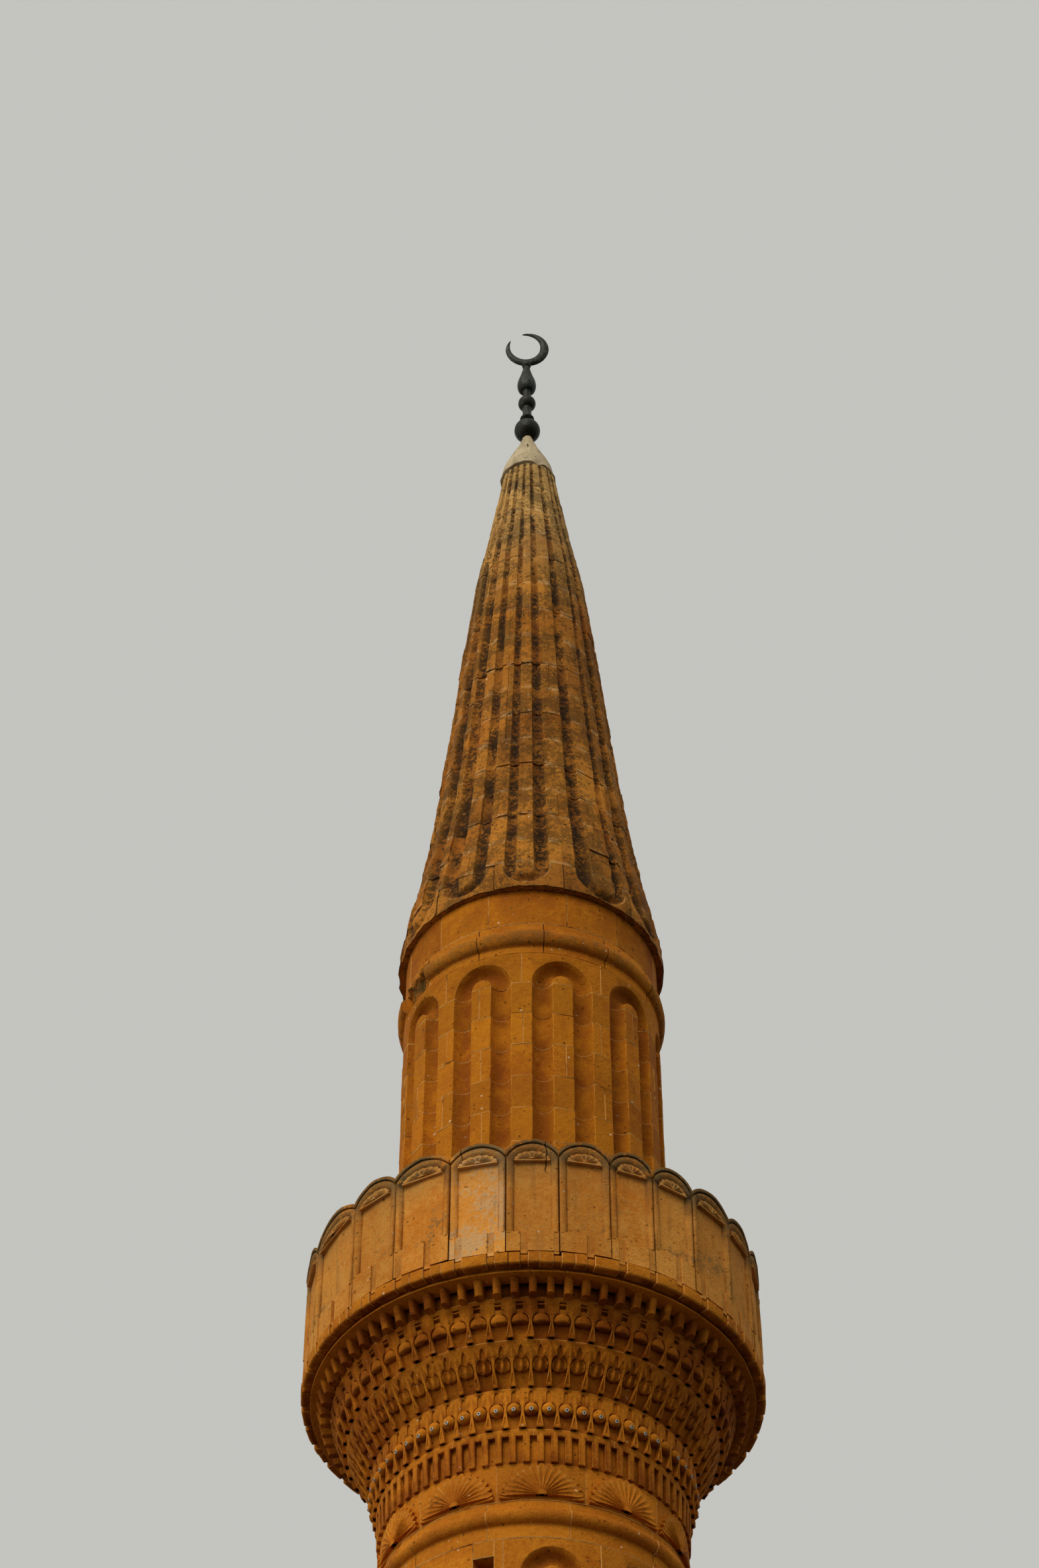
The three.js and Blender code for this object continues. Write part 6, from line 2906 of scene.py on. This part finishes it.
    def height(self) -> None:
        """Makes a ragged level: 0 below one height and 1 above another."""
        graph, given, out = self.open("Height Band", {"Low": 0.0, "High": 1.0, "Ragged": 0.1})
        place = graph.place()
        level = graph.add("ShaderNodeSeparateXYZ", {0: place}).outputs["Z"]
        low, high, ragged = (given.outputs[name] for name in ("Low", "High", "Ragged"))
        level = graph.plus(level, graph.times(graph.minus(graph.cloud(place, 2.6, 4.0, 0.6), 0.5), ragged))
        share = graph.maths("DIVIDE", graph.minus(level, low), graph.minus(high, low), clamp=True)
        graph.feed(out, {"Mask": share})


@dataclass(frozen=True)
class StoneLook:
    """Colours and wear of one kind of stone, as linear light.

    Attributes:
        deep: Darker main colour.
        light: Lighter main colour.
        dirt_and_shade: Colour in the hollows, of dirt and of painted shade.
        dirt_and_shade_amount: How much of it there is.
        arris: Colour of worn arrises.
        arris_amount: How much it shows.
        edge: Colour of the stones' lit upper edges.
        edge_amount: How much it shows.
        mortar: Colour of open joints.
        fill: Colour of pale mortar.
        bed: Colour of pale mortar in the level joints, painted brighter than the fill because they face down and get
            less light.
        filled: How much of the joints' length is filled with it.
        fleck: Colour of pale flecks.
        flecks: How much they show.
        pits: How dark the pits are.
        cracks: (place across, low end, high end, half width) of each crack.
        patches: Low and high end of a zone with more lichen, and its cover.
        lichen: Colour of the lichen.
        lichen_scale: Size of its patches.
        lichen_cover: How much it covers.
        lichen_hollow: Share of the lichen that keeps to the hollows.
        lichen_band: Low and high end of the zone where the lichen comes in, and its raggedness.
        stain: Colour of the run stains.
        stain_cover: How much they cover.
        contrast: Difference of tone between stones.
        crest: Colour towards the top, if it changes.
        crest_band: Heights between which it changes.
        wash: Colour of old wash.
        bump: Strength of the unevenness.
        rough: Lowest roughness.
    """

    deep: Colour
    light: Colour
    dirt_and_shade: Colour
    dirt_and_shade_amount: float = 0.6
    arris: Colour = (0.6, 0.4, 0.2)
    arris_amount: float = 0.4
    edge: Colour = (0.6, 0.4, 0.2)
    edge_amount: float = 0.4
    mortar: Colour = (0.05, 0.02, 0.005)
    fill: Colour = (0.78, 0.38, 0.09)
    # Painted light: brighter than the fill, for level joints that face down.
    bed: Colour = (0.98, 0.58, 0.17)
    filled: float = 0.0
    fleck: Colour = (0.80, 0.60, 0.36)
    flecks: float = 0.6
    pits: float = 0.5
    cracks: tuple[tuple[float, float, float, float], ...] = ()
    patches: Triple | None = None
    lichen: Colour = (0.02, 0.018, 0.012)
    lichen_scale: float = 2.5
    lichen_cover: float = 0.3
    lichen_hollow: float = 0.0
    lichen_band: Triple | None = None
    stain: Colour = (0.08, 0.04, 0.015)
    stain_cover: float = 0.3
    contrast: float = 0.3
    crest: Colour | None = None
    crest_band: Point = (0.0, 1.0)
    wash: Colour = (0.66, 0.40, 0.18)
    bump: float = 0.5
    rough: float = 0.78


@dataclass
class Finishes:
    """Makes the finishes out of the shared groups.

    Attributes:
        groups: The shared groups.
    """

    groups: Groups

    def use(self, graph: Graph, name: str, values: dict[str, float] | None = None) -> bpy.types.Node:
        """Places a group in a material with its own values."""
        node = graph.tree.nodes.new("ShaderNodeGroup")
        node.node_tree = self.groups.made[name]
        graph.feed(node, values or {})
        return node

    def mask(self, graph: Graph, name: str, **values: float) -> Socket:
        """Places a group that makes one mask, with its own values, and returns the mask."""
        return self.use(graph, name, {key.title(): value for key, value in values.items()}).outputs["Mask"]

    @staticmethod
    def start(name: str) -> tuple[bpy.types.Material, Graph, bpy.types.Node]:
        """Starts a material with its shader."""
        material = bpy.data.materials.new(name)
        material.use_nodes = True
        shader = material.node_tree.nodes["Principled BSDF"]
        return material, Graph(material.node_tree), shader

    def stone(self, name: str, look: StoneLook) -> bpy.types.Material:
        """Makes a stone finish.

        Args:
            name: Name of the material.
            look: Its colours and wear.

        Returns:
            The material.
        """
        material, graph, shader = self.start(name)
        grain = self.use(graph, "Stone Grain")
        block = self.use(graph, "Block Tone", {"Contrast": look.contrast})
        marks = self.use(graph, "Carving Marks", {"Dirt And Shade": look.dirt_and_shade_amount, "Pale": look.filled})
        colour = graph.blend(grain.outputs["Mottle"], look.deep, look.light)
        colour = graph.blend(graph.times(block.outputs["Hue"], 0.5), colour, look.light)
        if look.crest:
            low, high = look.crest_band
            colour = graph.blend(self.mask(graph, "Height Band", low=low, high=high, ragged=1.6), colour, look.crest)
        colour = graph.scaled(colour, block.outputs["Shade"])
        washed = graph.times(self.mask(graph, "Lichen", scale=1.4, cover=0.60), block.outputs["Wash"])
        layers = [
            (washed, 0.8, look.wash),
            (self.mask(graph, "Run Stains", cover=look.stain_cover), 0.55, look.stain),
            (grain.outputs["Fleck"], look.flecks, look.fleck),
            # Dirt and painted shade in the hollows.
            (marks.outputs["Hollow"], 1.0, look.dirt_and_shade),
            (marks.outputs["Arris"], look.arris_amount, look.arris),
            (graph.maths("MAXIMUM", marks.outputs["Edge"], marks.outputs["Worn"]), look.edge_amount, look.edge),
            (self.grown(graph, look), 0.9, look.lichen),
            (marks.outputs["Open"], 0.8, look.mortar),
            (marks.outputs["Fill"], 0.9, look.fill),
            # Pale mortar in the level joints, in a colour painted brighter to make up for their facing down.
            (marks.outputs["Bed"], 1.0, look.bed),
            # Near-black painted shadow, and a few dark stains, where hollow marks pass 1.
            (marks.outputs["Painted Shadow And Stain"], 1.0, PAINTED_SHADOW_AND_STAIN),
        ]
        for across, low, high, width in look.cracks:
            layers.append((self.mask(graph, "Crack", across=across, low=low, high=high, width=width), 1.0, CRACK))
        for mask, amount, over in layers:
            colour = graph.blend(graph.times(mask, amount), colour, over)
        dark = graph.times(grain.outputs["Speck"], 0.22)
        dark = graph.plus(dark, graph.times(grain.outputs["Pit"], look.pits))
        colour = graph.scaled(colour, graph.minus(1.0, dark))
        graph.feed(shader, {
            "Base Color": colour, "Roughness": graph.plus(graph.times(grain.outputs["Mottle"], 0.15), look.rough),
            "Specular IOR Level": 0.1, "Normal": self.bumps(graph, grain, look.bump, 0.012),
        })
        return material

    @staticmethod
    def bumps(graph: Graph, grain: bpy.types.Node, strength: float, distance: float) -> Socket:
        """Adds the grain's unevenness.

        Args:
            graph: Graph of the material.
            grain: Its grain group.
            strength: Strength of the unevenness.
            distance: Its height in metres.

        Returns:
            The normal.
        """
        values = {"Strength": strength, "Distance": distance, "Height": grain.outputs["Height"]}
        return graph.add("ShaderNodeBump", values).outputs[0]

    def grown(self, graph: Graph, look: StoneLook) -> Socket:
        """Returns the mask of a stone's lichen."""
        mask = self.mask(graph, "Lichen", scale=look.lichen_scale, cover=look.lichen_cover)
        if look.lichen_band:
            low, high, ragged = look.lichen_band
            mask = graph.times(mask, self.mask(graph, "Height Band", low=low, high=high, ragged=ragged))
        if look.lichen_hollow:
            sunk = graph.times(graph.mark("hollow"), look.lichen_hollow, clamp=True)
            mask = graph.times(mask, graph.plus(sunk, 1.0 - look.lichen_hollow, clamp=True))
        if look.patches:
            low, high, cover = look.patches
            more = self.mask(graph, "Lichen", scale=2.4, cover=cover)
            rise = self.mask(graph, "Height Band", low=low - 0.06, high=low + 0.06, ragged=0.3)
            fall = self.mask(graph, "Height Band", low=high + 0.1, high=high - 0.1, ragged=0.3)
            more = graph.times(more, graph.times(rise, fall))
            mask = graph.maths("MAXIMUM", mask, graph.times(more, 0.6))
        return mask

    def bronze(self) -> bpy.types.Material:
        """Makes the dark bronze with its green and pale patches."""
        material, graph, shader = self.start("patinated bronze")
        grain = self.use(graph, "Stone Grain", {"Scale": 6.0})
        green = self.mask(graph, "Lichen", scale=7.0, cover=0.42)
        runs = self.mask(graph, "Run Stains", width=26.0, cover=0.42)
        colour = graph.blend(grain.outputs["Mottle"], (0.012, 0.012, 0.009), (0.030, 0.029, 0.022))
        colour = graph.blend(graph.times(runs, 0.5), colour, (0.12, 0.12, 0.105))
        colour = graph.blend(graph.times(green, 0.55), colour, (0.035, 0.075, 0.055))
        graph.feed(shader, {
            "Base Color": colour, "Metallic": graph.minus(0.7, graph.times(green, 0.6)),
            "Roughness": graph.plus(graph.times(grain.outputs["Mottle"], 0.2), 0.42),
            "Normal": self.bumps(graph, grain, 0.25, 0.004),
        })
        return material

    def glaze(self, name: str, colour: Colour) -> bpy.types.Material:
        """Makes a fired glaze."""
        material, graph, shader = self.start(name)
        grain = self.use(graph, "Stone Grain", {"Scale": 4.0})
        shade = graph.blend(grain.outputs["Mottle"], colour, tuple(0.8 * part for part in colour))
        graph.feed(shader, {"Base Color": shade, "Roughness": 0.5})
        return material


OCHRE_LOOK = StoneLook(
    deep=(0.44, 0.115, 0.003), light=(0.62, 0.215, 0.013), dirt_and_shade=(0.22, 0.045, 0.002), dirt_and_shade_amount=0.75,
    arris=(0.72, 0.30, 0.045), edge=(0.78, 0.40, 0.10), mortar=(0.10, 0.025, 0.003), filled=0.75,
    lichen=(0.13, 0.065, 0.012), lichen_cover=0.20, stain=(0.20, 0.05, 0.003), contrast=0.25, bump=1.0, flecks=0.9,
)
DRUM_LOOK = replace(OCHRE_LOOK, deep=(0.385, 0.100, 0.002), light=(0.55, 0.190, 0.008))
RING_LOOK = replace(
    OCHRE_LOOK, dirt_and_shade=(0.24, 0.085, 0.010), dirt_and_shade_amount=0.6, lichen=(0.110, 0.066, 0.016), lichen_scale=4.5,
    lichen_cover=0.60, lichen_hollow=1.0, filled=0.2,
)
PARAPET_LOOK = StoneLook(
    deep=(0.56, 0.175, 0.012), light=(0.70, 0.31, 0.055), dirt_and_shade=(0.26, 0.09, 0.015), arris=(0.72, 0.42, 0.14),
    edge=(0.72, 0.42, 0.14), mortar=(0.03, 0.010, 0.002), lichen=(0.085, 0.075, 0.036), lichen_scale=3.2,
    lichen_cover=0.80, lichen_band=(18.42, 18.82, 0.5), lichen_hollow=0.55,
    stain=(0.22, 0.11, 0.030), stain_cover=0.40, contrast=0.25, filled=0.25,
    patches=(17.98, 18.32, 0.42), bump=1.0, flecks=0.8,
    cracks=((0.112, 18.56, 18.95, 0.0042), (-0.555, 18.70, 18.95, 0.0035)),
)
SPIRE_LOOK = StoneLook(
    deep=(0.35, 0.104, 0.006), light=(0.56, 0.228, 0.028), dirt_and_shade=(0.13, 0.038, 0.004), dirt_and_shade_amount=0.9,
    arris=(0.72, 0.42, 0.16), arris_amount=0.5, edge=(0.82, 0.56, 0.26), edge_amount=0.8,
    mortar=(0.02, 0.008, 0.002), lichen=(0.014, 0.010, 0.005), lichen_scale=2.6, lichen_cover=0.60,
    lichen_hollow=0.35, stain=(0.06, 0.024, 0.004), stain_cover=0.40, contrast=0.40, filled=0.25,
    crest=(0.68, 0.42, 0.13), crest_band=(26.9, 29.9), bump=1.0, flecks=0.8, pits=0.7,
)
CAP_LOOK = StoneLook(
    deep=(0.42, 0.31, 0.17), light=(0.62, 0.50, 0.31), dirt_and_shade=(0.2, 0.15, 0.08), lichen=(0.10, 0.09, 0.05),
    lichen_scale=5.0, lichen_cover=0.32, stain=(0.10, 0.085, 0.045), stain_cover=0.45, contrast=0.0,
    bump=0.8, flecks=0.0, cracks=((-0.012, 30.12, 30.26, 0.006),),
)
BASE_LOOK = StoneLook(
    deep=(0.52, 0.20, 0.030), light=(0.64, 0.31, 0.075), dirt_and_shade=(0.28, 0.10, 0.02), arris=(0.72, 0.42, 0.14),
    mortar=(0.14, 0.05, 0.010), lichen=(0.12, 0.08, 0.03), lichen_cover=0.25, contrast=0.3, filled=0.6,
)


def main() -> None:
    """Builds the tower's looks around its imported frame."""
    logging.basicConfig(level=logging.INFO, format="%(name)s: %(message)s")
    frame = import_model()
    Photographer().set_up()
    Studio().set_up()
    groups = Groups()
    groups.build()
    finishes = Finishes(groups)
    ochre = finishes.stone("ochre limestone", OCHRE_LOOK)
    base = finishes.stone("base limestone", BASE_LOOK)
    Base(base).build()
    ring = finishes.stone("ring limestone", RING_LOOK)
    Shaft(ochre, ochre).build()
    beads = finishes.glaze("pale glaze", (0.60, 0.56, 0.46)), finishes.glaze("dark glaze", (0.01, 0.015, 0.03))
    Corbel(ochre, *beads).build()
    cornice = Cornice(ochre)
    cornice.build()
    Parapet(finishes.stone("parapet limestone", PARAPET_LOOK), cornice.low_places()).build()
    Drum(finishes.stone("drum limestone", DRUM_LOOK), ring).build()
    Spire(finishes.stone("spire limestone", SPIRE_LOOK)).build()
    Crown(finishes.stone("cap limestone", CAP_LOOK), finishes.bronze()).build()
    for name in ("gallery_paving", "landing_floor"):
        frame["nodes"][name].data.materials.clear()
        frame["nodes"][name].data.materials.append(base)


if __name__ == "__main__":
    main()
